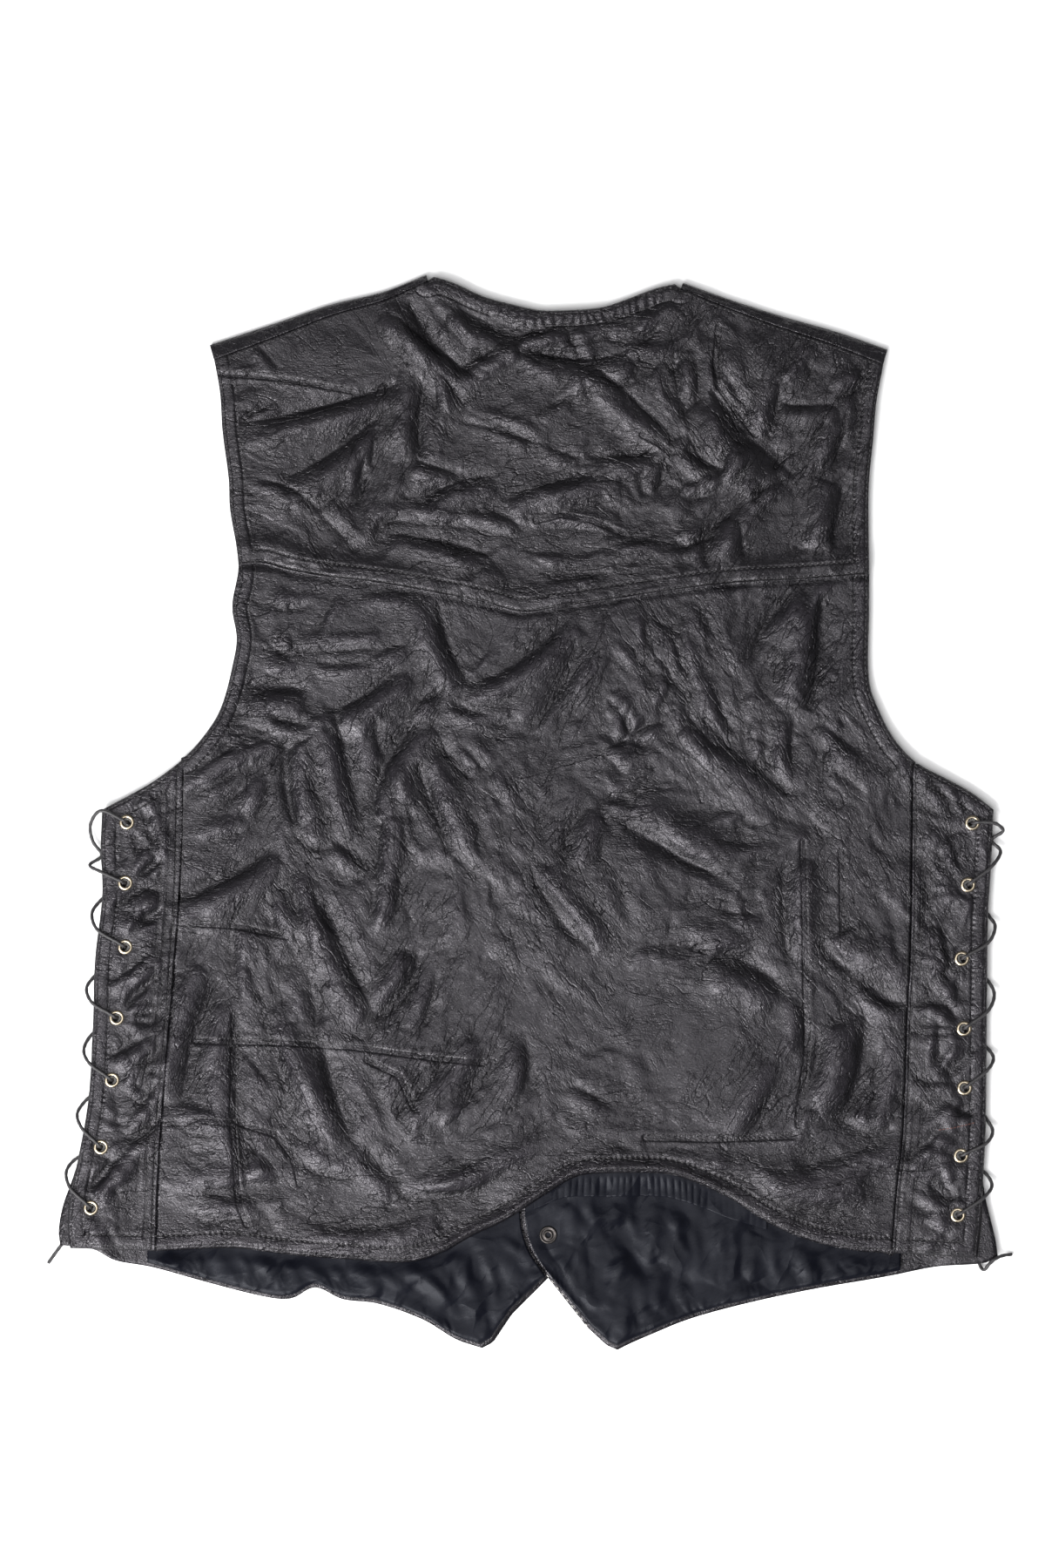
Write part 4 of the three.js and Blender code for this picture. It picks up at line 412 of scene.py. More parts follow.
    (-106, -214, -98, -226, -84, -236, 1.4, 5, 1.3, -1), (-84, -246, -60, -246, -40, -242, 1.5, 5, 1.4, 1),
    (-280, -216, -270, -222, -262, -226, 1.1, 4, 1.0, 1),
    (-266, -226, -276, -234, -284, -242, 1.4, 4.5, 1.3, 1),
    (252, -262, 262, -268, 270, -272, 1.1, 4, 1.0, 1), (-262, -60, -250, -64, -236, -60, 1.6, 4.5, 1.5, 1),
    (-256, -64, -246, -68, -238, -70, 1.2, 3.5, 1.1, -1), (256, -110, 264, -118, 274, -120, 1.1, 4, 1.0, 1),
    (252, -150, 262, -156, 270, -162, 1.0, 4, 0.9, 1), (254, -20, 262, -28, 268, -34, 1.0, 4, 0.9, 1),
]
print("shorter creases:", len(CREASES))

# %% Distance from a fold, and its height
def spine(row):
    """Eleven places along the trough, on a bend through the row's three."""
    x1, y1, x2, y2, x3, y3 = row[:6]
    t = np.linspace(0, 1, 11)
    bend_x, bend_y = 2 * x2 - (x1 + x3) / 2, 2 * y2 - (y1 + y3) / 2
    a, b, c = (1 - t) ** 2, 2 * t * (1 - t), t * t
    return a * x1 + b * bend_x + c * x3, a * y1 + b * bend_y + c * y3


def near_spine(row, x, y):
    """Signed distance from the trough and the share along it."""
    sx, sy = spine(row)
    best = np.full(x.shape, 1e9)
    signed, share = np.zeros(x.shape), np.zeros(x.shape)
    for i in range(10):
        dx, dy = sx[i + 1] - sx[i], sy[i + 1] - sy[i]
        f = np.clip(((x - sx[i]) * dx + (y - sy[i]) * dy) / (dx * dx + dy * dy), 0, 1)
        d = np.hypot(x - sx[i] - f * dx, y - sy[i] - f * dy)
        closer = d < best
        best = np.where(closer, d, best)
        side = np.where(dx * (y - sy[i]) - dy * (x - sx[i]) >= 0, 1, -1)
        signed = np.where(closer, d * side, signed)
        share = np.where(closer, (i + f) / 10, share)
    return signed, share


def fold_height(rows, x, y, sharp):
    """Troughs and banks of all rows. A sharp share of each trough is a narrow crease."""
    z = np.zeros(x.shape)
    for row in rows:
        deep, wide, bank, side = row[6:]
        reach = 4 * wide
        xs, ys = row[0:6:2], row[1:6:2]
        here = ((x > min(xs) - reach) & (x < max(xs) + reach) & (y > min(ys) - reach) & (y < max(ys) + reach))
        if not here.any():
            continue
        signed, share = near_spine(row, x[here], y[here])
        fade = np.sqrt(np.sin(np.pi * np.clip(share, 0, 1)).clip(0))
        fade[(share <= 0) | (share >= 1)] = 0
        trough = (1 - sharp) * np.exp(-(signed / wide) ** 2) + sharp * np.exp(-np.abs(signed) / (0.32 * wide))
        rise = np.exp(-((signed * side - 1.7 * wide) / (1.15 * wide)) ** 2)
        z[here] += fade * (bank * rise - deep * trough)
    return z


print("spine of the first fold starts at", [round(float(v[0])) for v in spine(FOLDS[0])])

# %% [markdown]
# ## Crumples between the folds
# Between the folds the leather is puffed and finely creased, and the small creases run with the folds
# near them. Folded noise gives just that: hills that meet in sharp valleys. Three layers of it are
# stretched along three directions, and each place mixes them by the direction of the folds round it. The
# seeds are fixed.

# %% Noise and its lay
LAYS = np.radians([0, 60, 120])


def noise(x, y, seed):
    """Smooth random hills one unit apart, from -1 to 1."""
    angles = np.random.RandomState(seed).rand(64, 64) * 2 * np.pi
    gx, gy = np.cos(angles), np.sin(angles)
    xi, yi = np.floor(x).astype(int), np.floor(y).astype(int)
    fx, fy = x - xi, y - yi
    sx = fx**3 * (fx * (fx * 6 - 15) + 10)
    sy = fy**3 * (fy * (fy * 6 - 15) + 10)

    def corner(i, j):
        a, b = (xi + i) % 64, (yi + j) % 64
        return gx[a, b] * (fx - i) + gy[a, b] * (fy - j)

    low = corner(0, 0) + sx * (corner(1, 0) - corner(0, 0))
    high = corner(0, 1) + sx * (corner(1, 1) - corner(0, 1))
    return 1.5 * (low + sy * (high - low))


def facets(x, y, seed):
    """Flat faces between random heights on a net of triangles one unit wide, from -1 to 1."""
    heights = np.random.RandomState(seed).rand(64, 64) * 2 - 1
    sx, sy = x + 0.366 * (x + y), y + 0.366 * (x + y)
    xi, yi = np.floor(sx).astype(int), np.floor(sy).astype(int)
    fx, fy = sx - xi, sy - yi
    a, b, c, d = xi % 64, yi % 64, (xi + 1) % 64, (yi + 1) % 64
    one, other = heights[c, b], heights[a, d]
    near, far = heights[a, b], heights[c, d]
    return np.where(fx > fy, near * (1 - fx) + one * (fx - fy) + far * fy,
                    near * (1 - fy) + other * (fy - fx) + far * fx)


def lay_weights(x, y):
    """Share of each direction at each place, from the folds within a few centimetres."""
    c2, s2 = np.zeros(x.shape), np.zeros(x.shape)
    for row in FOLDS + CREASES:
        sx, sy = spine(row)
        for i in (2, 5, 8):
            angle = math.atan2(sy[i + 1] - sy[i - 1], sx[i + 1] - sx[i - 1])
            pull = row[6] * np.exp(-((x - sx[i]) ** 2 + (y - sy[i]) ** 2) / 24.0 ** 2)
            c2 += pull * math.cos(2 * angle)
            s2 += pull * math.sin(2 * angle)
    c2 += 0.25 * noise(x / 45, y / 45, 3)
    s2 += 0.25 * noise(x / 45, y / 45, 4)
    much = np.hypot(c2, s2)
    angle = 0.5 * np.arctan2(s2, c2)
    sure = much / (much + 0.35)
    weights = np.array([np.exp(4.5 * sure * np.cos(2 * (angle - lay))) for lay in LAYS])
    return weights / weights.sum(axis=0)


def crumple(x, y, weights):
    wx = x + 9 * noise(x / 31, y / 31, 11) + 2.5 * noise(x / 11, y / 11, 13)
    wy = y + 9 * noise(x / 31, y / 31, 12) + 2.5 * noise(x / 11, y / 11, 14)
    z = np.zeros(x.shape)
    for k, lay in enumerate(LAYS):
        along = wx * math.cos(lay) + wy * math.sin(lay)
        across = wy * math.cos(lay) - wx * math.sin(lay)
        big = facets(along / 34, across / 15, 20 + k)
        middle = facets(along / 17, across / 8, 30 + k)
        puffs = np.abs(noise(along / 22, across / 9, 50 + k)) - 0.25
        small = np.abs(noise(along / 10, across / 4.4, 40 + k)) - 0.25
        z += weights[k] * (1.4 * big + 0.55 * middle + 0.6 * puffs + 0.55 * small)
    return z


print("lay at the middle of the back:", lay_weights(np.zeros(1), np.zeros(1)).round(2).ravel())

# %% Form of the laid back, before its finest relief
# x, y, reach, share of the crumples that is left: places where the leather is smoother
CALM = [
    (-130, 296, 46, 0.25), (-150, 262, 30, 0.5), (-140, 232, 24, 0.5), (-108, 120, 34, 0.35),
    (-124, 86, 22, 0.25), (-20, 240, 40, 0.5), (20, 262, 30, 0.6), (152, 182, 26, 0.4), (130, -168, 36, 0.3),
    (-50, -130, 30, 0.5), (-20, 70, 30, 0.4), (10, -120, 40, 0.6), (100, -140, 40, 0.5),
]


def left_edge(y):
    return np.where(y > UNDERARM, curve(ARMHOLE_LEFT, y), curve(SIDE_LEFT, y))


def right_edge(y):
    return np.where(y > UNDERARM, curve(ARMHOLE_RIGHT, y), curve(SIDE_RIGHT, y))


def top_edge(x):
    shoulders = np.where(x < NECK_LEFT_END, curve(SHOULDER_LEFT, x), curve(SHOULDER_RIGHT, x))
    return np.where((x < NECK_LEFT_END) | (x > NECK_RIGHT_END), shoulders, curve(NECK, x))


def back_level(x, y, fine=1.0):
    """Upper level of the back at each place, and the lay of its crumples there."""
    sides = np.minimum(x - left_edge(y), right_edge(y) - x)
    edge = np.maximum(0, np.minimum(np.minimum(sides, top_edge(x) - y), y - curve(HEM, x)))
    z = np.full(x.shape, float(BACK_LEVEL))
    for swell_x, swell_y, wide, tall, high in SWELLS:
        z += high * np.exp(-((x - swell_x) / wide) ** 2 - ((y - swell_y) / tall) ** 2)
    folds = 1.3 * fold_height(FOLDS, x, y, 0.6) * (0.25 + 0.75 * smooth(2, 26, edge))
    z += folds
    weights = lay_weights(x, y)
    loose = np.ones(x.shape)
    for cx, cy, reach, left in CALM:
        loose *= 1 - (1 - left) * np.exp(-((x - cx) ** 2 + (y - cy) ** 2) / reach**2)
    relief = fine * (1.25 * fold_height(CREASES, x, y, 0.65) + loose * crumple(x, y, weights))
    relief *= 0.35 + 0.65 * smooth(4, 18, edge)
    overlap = smooth(-34, -18, x) * (1 - smooth(48, 62, x)) * (1 - smooth(246, 264, y))
    lined = 1 - smooth(-212, -196, y)
    arched = lined * smooth(-22, -8, x) * (1 - smooth(164, 178, x))
    low = 3.7 + 1.6 * lined + 2.0 * overlap + 1.6 * arched
    z = np.maximum(z, low) + relief
    z = low + np.logaddexp(0, (z - low) * 2.2) / 2.2
    strip = (1 - smooth(STRIP_FLAT, STRIP_RAMP, sides)) * (1 - smooth(36, 66, y))
    swing = 1.5 * relief + 0.9 * folds
    flat = SIDE_LEVEL + np.where(swing < 0, np.tanh(swing), 2.2 * np.tanh(swing / 2.2))
    for ex, ey in EYELETS_LEFT + EYELETS_RIGHT:
        flat = flat + (SIDE_LEVEL - flat) * np.exp(-(((x - ex) ** 2 + (y - ey) ** 2) / 6.5**2) ** 2)
    return z + (flat - z) * strip, weights


print("level at the middle of the back:", round(float(back_level(np.zeros(1), np.zeros(1))[0][0]), 2), "mm")

# %% [markdown]
# ## Seams and edges
# Every free edge is turned in and stitched down with two rows, and so is the lap of the yoke. The turned
# part is thicker, the rows sink in, and the edge rolls over. Patch seams are narrow grooves with one row
# beside them. A search tree tells how far each grid point lies from the nearest seam and how far along
# it, and the material uses the same two numbers for the puckers between the stitches.

# %% Seam lines
def dense(line, gap=1.0):
    line = np.asarray(line, float)
    run = lengths(line)
    s = np.arange(0, run[-1], gap)
    return np.column_stack((np.interp(s, run, line[:, 0]), np.interp(s, run, line[:, 1])))


class Seams:
    """Nearest place on a set of lines: distance and length along."""

    def __init__(self, lines):
        self.points, self.along, self.turn = [], [], []
        run = 0.0
        for line in lines:
            d = dense(line)
            step = np.gradient(d, axis=0)
            self.points.extend(map(tuple, d))
            self.along.extend(run + lengths(d))
            self.turn.extend(map(tuple, step / np.hypot(*step.T)[:, None]))
            run += lengths(d)[-1] + 100
        self.tree = kdtree.KDTree(len(self.points))
        for i, (x, y) in enumerate(self.points):
            self.tree.insert((x, y, 0), i)
        self.tree.balance()
        self.along = np.array(self.along)
        self.turn = np.array(self.turn)
        self.points = np.array(self.points)

    def measure(self, x, y):
        found = [self.tree.find((a, b, 0)) for a, b in zip(x.ravel().tolist(), y.ravel().tolist())]
        index = np.array([f[1] for f in found])
        gap_x = x.ravel() - self.points[index, 0]
        gap_y = y.ravel() - self.points[index, 1]
        tx, ty = self.turn[index, 0], self.turn[index, 1]
        slip = gap_x * tx + gap_y * ty
        off = tx * gap_y - ty * gap_x
        near = np.where(np.abs(slip) < 1.01, np.abs(off), np.hypot(gap_x, gap_y))
        return near.reshape(x.shape), (self.along[index] + slip).reshape(x.shape)


PATCH_SEAMS = [
    [(-200, 282), (-178, 281), (-158, 279), (-135, 275), (-113, 271)],
    [(121, 312), (119, 290), (120, 276), (130, 262), (145, 243)],
    [(72, 243), (82, 238), (91, 231)],
    [(4, 188), (20, 192), (40, 188), (60, 180)],
    [(-215, -146), (-160, -147), (-112, -150), (-60, -157), (-30, -160)],
    [(-236, -199), (-210, -197), (-186, -199), (-163, -206), (-151, -222), (-148, -238)],
    [(-190, -128), (-191, -200), (-187, -250), (-182, -264)],
    [(-226, -70), (-190, -72), (-156, -79)],
    [(74, -208), (120, -209), (170, -207)],
    [(175, -18), (176, -60), (177, -110), (178, -150), (172, -200)],
    [(200, -24), (201, -86)],
    [(-105, -158), (-84, -168), (-74, -190)],
]
print("patch seams:", len(PATCH_SEAMS))

# %% Relief along seams and edges
ROW_NEAR, ROW_FAR = 2.2, 9.5
SIDE_ROWS = (2.4, 6.6, 11.5)
ROLL = 3.2


def edge_relief(near, thick=0.7):
    """Turned edge: padded up to its far row, sunk at the rows, rolled over at the end."""
    pad = thick * (1 - smooth(ROW_FAR - 0.5, ROW_FAR + 3.5, near))
    sunk = 0.35 * bell(near - ROW_NEAR, 0.9) + 0.4 * bell(near - ROW_FAR, 1.0)
    roll = 1.7 * (1 - np.minimum(near / ROLL, 1)) ** 2
    return pad - sunk - roll


def seam_relief(near):
    return 0.35 * bell(near - 3.0, 2.2) - 0.75 * bell(near, 1.3)


print("an edge rises", round(float(edge_relief(np.array([5.0]))[0]), 2), "mm between its rows")

# %% [markdown]
# ## Skins
# A skin is one closed body. Its upper face has a fine grid, and its hidden lower face a coarse one,
# because nobody sees it. The two meet in a rim. Each point of the upper face keeps a few numbers for the
# material: how proud it stands, the lay of its crumples, and its place beside the nearest seam.

# %% Closed skin from two grids
def closed_grid(name, upper, lower, flip=False):
    """Body between an upper grid of points and a lower one with the same or fewer rows and columns."""
    rows, columns = upper.shape[:2]
    low_rows, low_columns = lower.shape[:2]
    c, d = (rows - 1) // (low_rows - 1), (columns - 1) // (low_columns - 1)
    base = rows * columns
    up = np.arange(base).reshape(rows, columns)
    low = base + np.arange(low_rows * low_columns).reshape(low_rows, low_columns)
    faces = np.stack((up[:-1, :-1], up[1:, :-1], up[1:, 1:], up[:-1, 1:]), -1).reshape(-1, 4).tolist()
    faces += np.stack((low[:-1, :-1], low[:-1, 1:], low[1:, 1:], low[1:, :-1]), -1).reshape(-1, 4).tolist()
    for b in range(low_columns - 1):
        top = up[0, b * d:(b + 1) * d + 1].tolist()
        end = up[-1, b * d:(b + 1) * d + 1].tolist()[::-1]
        faces.append(top + [int(low[0, b + 1]), int(low[0, b])])
        faces.append(end + [int(low[-1, b]), int(low[-1, b + 1])])
    for a in range(low_rows - 1):
        first = up[a * c:(a + 1) * c + 1, 0].tolist()[::-1]
        last = up[a * c:(a + 1) * c + 1, -1].tolist()
        faces.append(first + [int(low[a, 0]), int(low[a + 1, 0])])
        faces.append(last + [int(low[a + 1, -1]), int(low[a, -1])])
    if flip:
        faces = [face[::-1] for face in faces]
    points = np.concatenate((upper.reshape(-1, 3), lower.reshape(-1, 3)))
    points = (points - (*MIDDLE, 0)) * MM
    mesh = bpy.data.meshes.new(name)
    mesh.from_pydata(points.tolist(), [], faces)
    mesh.polygons.foreach_set("use_smooth", [True] * len(mesh.polygons))
    piece = bpy.data.objects.new(name, mesh)
    bpy.context.collection.objects.link(piece)
    return piece


def blurred(z, reach):
    """Mean over a square of grid points, twice, for the level around each point."""
    for _ in range(2):
        for axis in (0, 1):
            pad = [(reach, reach) if a == axis else (0, 0) for a in (0, 1)]
            total = np.cumsum(np.pad(z, pad, mode="edge"), axis=axis)
            size = 2 * reach + 1
            zero = np.zeros_like(np.take(total, [0], axis=axis))
            total = np.concatenate((zero, total), axis=axis)
            z = (np.take(total, range(size, total.shape[axis]), axis=axis)
                 - np.take(total, range(0, total.shape[axis] - size), axis=axis)) / size
    return z


def keep_values(piece, values, count):
    """Stores named numbers on the upper points, and nought on the others."""
    total = len(piece.data.vertices)
    for name, value in values.items():
        full = np.zeros(total)
        full[:count] = value.ravel()
        piece.data.attributes.new(name, "FLOAT", "POINT").data.foreach_set("value", full.astype(np.float32))


# the distance over which a place is compared with its surroundings, to tell how proud it stands
PROUD_REACH = 7


def skin(name, x, y, z, thick, coarse, values, floor_level):
    """Skin with this upper face, and a lower one that stays below it and above the floor level."""
    if x[0, -1] < x[0, 0]:
        x, y, z = x[:, ::-1], y[:, ::-1], z[:, ::-1]
        values = {key: value[:, ::-1] for key, value in values.items()}
    shifts = [(i, j) for i in (-coarse, 0, coarse) for j in (-coarse, 0, coarse)]
    window = np.min([np.roll(z, shift, (0, 1)) for shift in shifts], axis=0)
    window[[0, -1]], window[:, [0, -1]] = z[[0, -1]], z[:, [0, -1]]
    low = np.maximum(np.minimum(window, z) - thick, floor_level)
    low = np.minimum(low, z - 0.5 * thick)
    upper = np.dstack((x, y, z))
    lower = np.dstack((x, y, low))[::coarse, ::coarse]
    piece = closed_grid(name, upper, lower)
    reach = max(1, round(PROUD_REACH / PITCH))
    stands = z - blurred(z, reach)
    values = dict(values, proud=np.clip(stands / 2.4 + 0.5, 0, 1),
                  worked=np.clip(blurred(np.abs(stands), reach) / 0.7, 0, 1))
    keep_values(piece, values, x.size)
    print(name, "has", len(piece.data.polygons), "faces")
    return piece


def finish_piece(piece, material, node):
    """Gives a sheet its material, hides the solid it stands for and hangs it under the root."""
    piece.data.materials.append(material)
    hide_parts(node)
    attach(piece, "root")


print("skin tools ready")

# %% [markdown]
# ## Materials
# The leather is black and worn. Its base is nearly black, and what looks grey in the photograph is its
# sheen, so roughness and bump do most of the work. The bump goes from coarse to fine: long creases, short
# ones and wrinkles, which all follow the lay, a pebbled grain of about a millimetre, and the puckers and
# the groove of each stitch row. Proud places are a little smoother from wear, and their colour is paler,
# partly from wear and partly as a painted highlight. Sunk places, crease lines and stitch grooves are
# darkened in colour, as painted shade.

# %% Node helpers
class Shader:
    """Small helper to lay out a material's nodes from left to right."""

    def __init__(self, name):
        self.material = bpy.data.materials.new(name)
        self.material.use_nodes = True
        self.tree = self.material.node_tree
        self.main = self.tree.nodes["Principled BSDF"]

    def add(self, kind, inputs=(), **settings):
        node = self.tree.nodes.new(kind)
        for key, value in settings.items():
            setattr(node, key, value)
        for key, value in dict(inputs).items():
            self.set(node.inputs[key], value)
        return node

    def set(self, socket, value):
        if isinstance(value, bpy.types.NodeSocket):
            self.tree.links.new(value, socket)
        else:
            socket.default_value = value

    def math(self, operation, a, b=0.0, c=0.0):
        return self.add("ShaderNodeMath", {0: a, 1: b, 2: c}, operation=operation).outputs[0]

    def value(self, name):
        return self.add("ShaderNodeAttribute", attribute_name=name).outputs["Fac"]

    def ramp(self, value, low, high, out_low=0.0, out_high=1.0):
        inputs = {"Value": value, "From Min": low, "From Max": high}
        inputs.update({"To Min": out_low, "To Max": out_high})
        return self.add("ShaderNodeMapRange", inputs, interpolation_type="SMOOTHSTEP").outputs[0]

    def bell(self, value, centre, wide):
        off = self.math("DIVIDE", self.math("SUBTRACT", value, centre), wide)
        return self.math("EXPONENT", self.math("MULTIPLY", self.math("MULTIPLY", off, off), -1.0))

    def noise(self, vector, scale, detail=2.0, rough=0.5):
        inputs = {"Vector": vector, "Scale": scale, "Detail": detail, "Roughness": rough}
        return self.add("ShaderNodeTexNoise", inputs).outputs["Fac"]

    def turned(self, vector, angle, stretch):
        inputs = {"Vector": vector, "Rotation": (0, 0, angle), "Scale": stretch}
        return self.add("ShaderNodeMapping", inputs, vector_type="TEXTURE").outputs[0]

    def warped(self, vector, scale, much):
        inputs = {"Vector": vector, "Scale": scale, "Detail": 2.0}
        drift = self.add("ShaderNodeTexNoise", inputs).outputs["Color"]
        drift = self.add("ShaderNodeVectorMath", {0: drift, "Scale": much}, operation="SCALE").outputs[0]
        return self.add("ShaderNodeVectorMath", {0: vector, 1: drift}, operation="ADD").outputs[0]

    def cells(self, vector, scale):
        inputs = {"Vector": vector, "Scale": scale, "Randomness": 1.0}
        return self.add("ShaderNodeTexVoronoi", inputs, feature="DISTANCE_TO_EDGE").outputs["Distance"]

    def mix(self, share, a, b):
        node = self.add("ShaderNodeMix", data_type="RGBA")
        self.set(node.inputs[0], share)
        self.set(node.inputs[6], a)
        self.set(node.inputs[7], b)
        return node.outputs[2]

    def bump(self, height, distance, normal=None):
        node = self.add("ShaderNodeBump", {"Height": height, "Distance": distance, "Strength": 1.0})
        if normal is not None:
            self.set(node.inputs["Normal"], normal)
        return node.outputs[0]


print("node helper ready")

# %% Worn black leather
STITCH_STEP = 3.4


def wrinkles_along_lays(s, place, scale, stretch, wide):
    """Valley lines of a noise that is stretched along each of the three lays, 0 in a line and 1 between."""
    total = None
    for k, lay in enumerate(LAYS):
        run = s.turned(place, float(lay), (stretch, 1.0, 1.0))
        lines = s.math("ABSOLUTE", s.math("SUBTRACT", s.noise(run, scale, 3.0, 0.55), 0.5))
        share = s.math("MULTIPLY", s.ramp(lines, 0.0, wide), s.value(f"lay_{k}"))
        total = share if total is None else s.math("ADD", total, share)
    return total


def leather(name, dark, wear_and_highlight_colour, rough, grain):
    """Leather with its dark colour, its paler colour of worn and highlighted crests, its roughness and the
    pebbles to a metre.
    """
    s = Shader(name)
    place = s.add("ShaderNodeTexCoord").outputs["Object"]
    proud = s.value("proud")
    patches = s.noise(place, 22, 3.0)
    fine = s.noise(place, 240, 4.0, 0.6)
    wrinkles = wrinkles_along_lays(s, place, 400, 2.0, 0.16)
    creases = wrinkles_along_lays(s, place, 90, 3.0, 0.02)
    long_creases = wrinkles_along_lays(s, s.warped(place, 18, 0.012), 36, 3.2, 0.012)
    pebbles = s.ramp(s.cells(s.warped(place, 260, 0.0022), grain), 0.0, 0.22)
    creased = s.ramp(s.noise(place, 45, 2.0), 0.4, 0.6, 0.15, 0.7)
    worked = s.math("ADD", s.math("MULTIPLY", s.value("worked"), 0.8), creased)
    near, along = s.value("seam_near"), s.value("seam_along")
    beat = s.math("COSINE", s.math("MULTIPLY", along, 2 * math.pi / STITCH_STEP))
    band = s.math("ADD", s.math("MULTIPLY", s.bell(near, ROW_NEAR, 1.3), 0.5), s.bell(near, ROW_FAR, 1.5))
    uneven = s.ramp(s.noise(place, 60, 2.0), 0.35, 0.65, 0.3, 1.1)
    tight = s.math("MULTIPLY", s.value("stitched"), uneven)
    puckers = s.math("MULTIPLY", s.math("MULTIPLY", beat, band), tight)
    rows = s.math("ADD", s.bell(near, ROW_NEAR, 0.7), s.bell(near, ROW_FAR + 0.4, 1.0))
    groove = s.math("MULTIPLY", rows, s.value("stitched"))

    # Proud places turn paler and smoother: partly wear, and partly a painted highlight on the crests.
    wear_and_painted_highlight = s.ramp(proud, 0.5, 0.95)
    share = s.math("MULTIPLY", wear_and_painted_highlight, s.ramp(fine, 0.3, 0.7, 0.45, 1.0))
    colour = s.mix(share, (*dark, 1), (*wear_and_highlight_colour, 1))
    # Painted shade: sunk places, wrinkle and crease lines and the stitch grooves are darkened towards
    # near-black, where shade falls.
    sunk = s.ramp(proud, 0.1, 0.5, 0.45, 1.0)
    painted_shade = s.math("MULTIPLY", sunk, s.ramp(wrinkles, 0.0, 0.4, 0.82, 1.0))
    painted_shade = s.math("MULTIPLY", painted_shade, s.ramp(creases, 0.0, 0.9, 0.45, 1.0))
    painted_shade = s.math("MULTIPLY", painted_shade, s.ramp(long_creases, 0.0, 0.9, 0.6, 1.0))
    painted_shade = s.math("MULTIPLY", painted_shade, s.ramp(groove, 0.0, 1.0, 1.0, 0.5))
    colour = s.mix(painted_shade, (*[0.25 * c for c in dark], 1), colour)
    s.set(s.main.inputs["Base Color"], colour)

    broad = s.ramp(patches, 0.3, 0.7, rough - 0.05, rough + 0.07)
    dull = s.math("ADD", broad, s.ramp(fine, 0.3, 0.7, -0.05, 0.06))
    s.set(s.main.inputs["Roughness"], s.math("SUBTRACT", dull, s.math("MULTIPLY", wear_and_painted_highlight, 0.07)))
    s.main.inputs["IOR"].default_value = 1.5
    s.main.inputs["Specular IOR Level"].default_value = 0.36
    s.main.inputs["Specular Tint"].default_value = (0.98, 0.94, 1.0, 1)

    normal = s.bump(s.math("MULTIPLY", wrinkles, worked), 0.00016)
    normal = s.bump(s.math("MULTIPLY", creases, worked), 0.00025, normal)
    normal = s.bump(s.math("MULTIPLY", long_creases, worked), 0.00034, normal)
    normal = s.bump(pebbles, 0.00007, normal)
    normal = s.bump(fine, 0.00013, normal)
    normal = s.bump(puckers, 0.00013, normal)
    normal = s.bump(s.math("MULTIPLY", groove, -1.0), 0.00035, normal)
    s.set(s.main.inputs["Normal"], normal)
    return s.material


# The second colour is the paler one of proud places: wear and painted highlight.
BODY_LEATHER = leather("worn_black_leather", (0.0074, 0.0069, 0.0084), (0.0170, 0.0154, 0.0186),
                       0.275, 640)
YOKE_LEATHER = leather("worn_yoke_leather", (0.0073, 0.0068, 0.0081), (0.0167, 0.0152, 0.0181),
                       0.275, 620)
print("leathers ready")

# %% Back body
def seam_values(x, y, edges, seams, thick=0.7):
    """Relief beside edges and patch seams, and the numbers that the material reads."""
    near_edge, along_edge = edges.measure(x, y)
    near_seam, along_seam = seams.measure(x, y)
    rise = edge_relief(near_edge, thick) + seam_relief(near_seam)
    at_edge = near_edge < near_seam + 4
    return rise, {
        "seam_near": np.where(at_edge, near_edge, near_seam + 0.6),
        "seam_along": np.where(at_edge, along_edge, along_seam),
        "stitched": np.where(at_edge, 1 - smooth(13, 16, near_edge), 0.7 * (1 - smooth(3, 6, near_seam))),
    }


def lay_values(weights):
    return {f"lay_{k}": weights[k] for k in range(3)}


LEFT_SHOULDER_LINE = below_shoulder(SHOULDER_LEFT, -1, 1, 0.2)
RIGHT_SHOULDER_LINE = below_shoulder(SHOULDER_RIGHT, 1, 1, 0.2)[::-1]
YOKE_SIDE_LEFT = line_y(ARMHOLE_LEFT, LEFT_SHOULDER_LINE[0][1] - 0.6, YOKE_LEFT_END)
YOKE_SIDE_RIGHT = line_y(ARMHOLE_RIGHT, RIGHT_SHOULDER_LINE[-1][1] - 0.6, YOKE_RIGHT_END)
YOKE_LOWER = line_x(YOKE_EDGE, YOKE_SIDE_LEFT[-1][0], YOKE_SIDE_RIGHT[-1][0])
YOKE_LOWER[0], YOKE_LOWER[-1] = YOKE_SIDE_LEFT[-1], YOKE_SIDE_RIGHT[-1]
HALF = SEAM_GAP / 2
BODY_SEAM_LEFT = line_y(SEAM_LEFT, SIDE_SEAM_TOP_LEFT, SEAM_LEFT[-1][0]) + (HALF, 0)
BODY_SEAM_RIGHT = line_y(SEAM_RIGHT, SIDE_SEAM_TOP_RIGHT, SEAM_RIGHT[-1][0]) - (HALF, 0)
BODY_ARM_LEFT = line_y(ARMHOLE_LEFT, YOKE_LEFT_END, SIDE_SEAM_TOP_LEFT)
BODY_ARM_RIGHT = line_y(ARMHOLE_RIGHT, YOKE_RIGHT_END, SIDE_SEAM_TOP_RIGHT)
BODY_ARM_LEFT[-1], BODY_ARM_RIGHT[-1] = BODY_SEAM_LEFT[0], BODY_SEAM_RIGHT[0]
BODY_HEM = line_x(HEM, BODY_SEAM_LEFT[-1][0], BODY_SEAM_RIGHT[-1][0])
BODY_HEM[0], BODY_HEM[-1] = BODY_SEAM_LEFT[-1], BODY_SEAM_RIGHT[-1]
PATCHES = Seams(PATCH_SEAMS)
RING_MARK = (-225, -106)


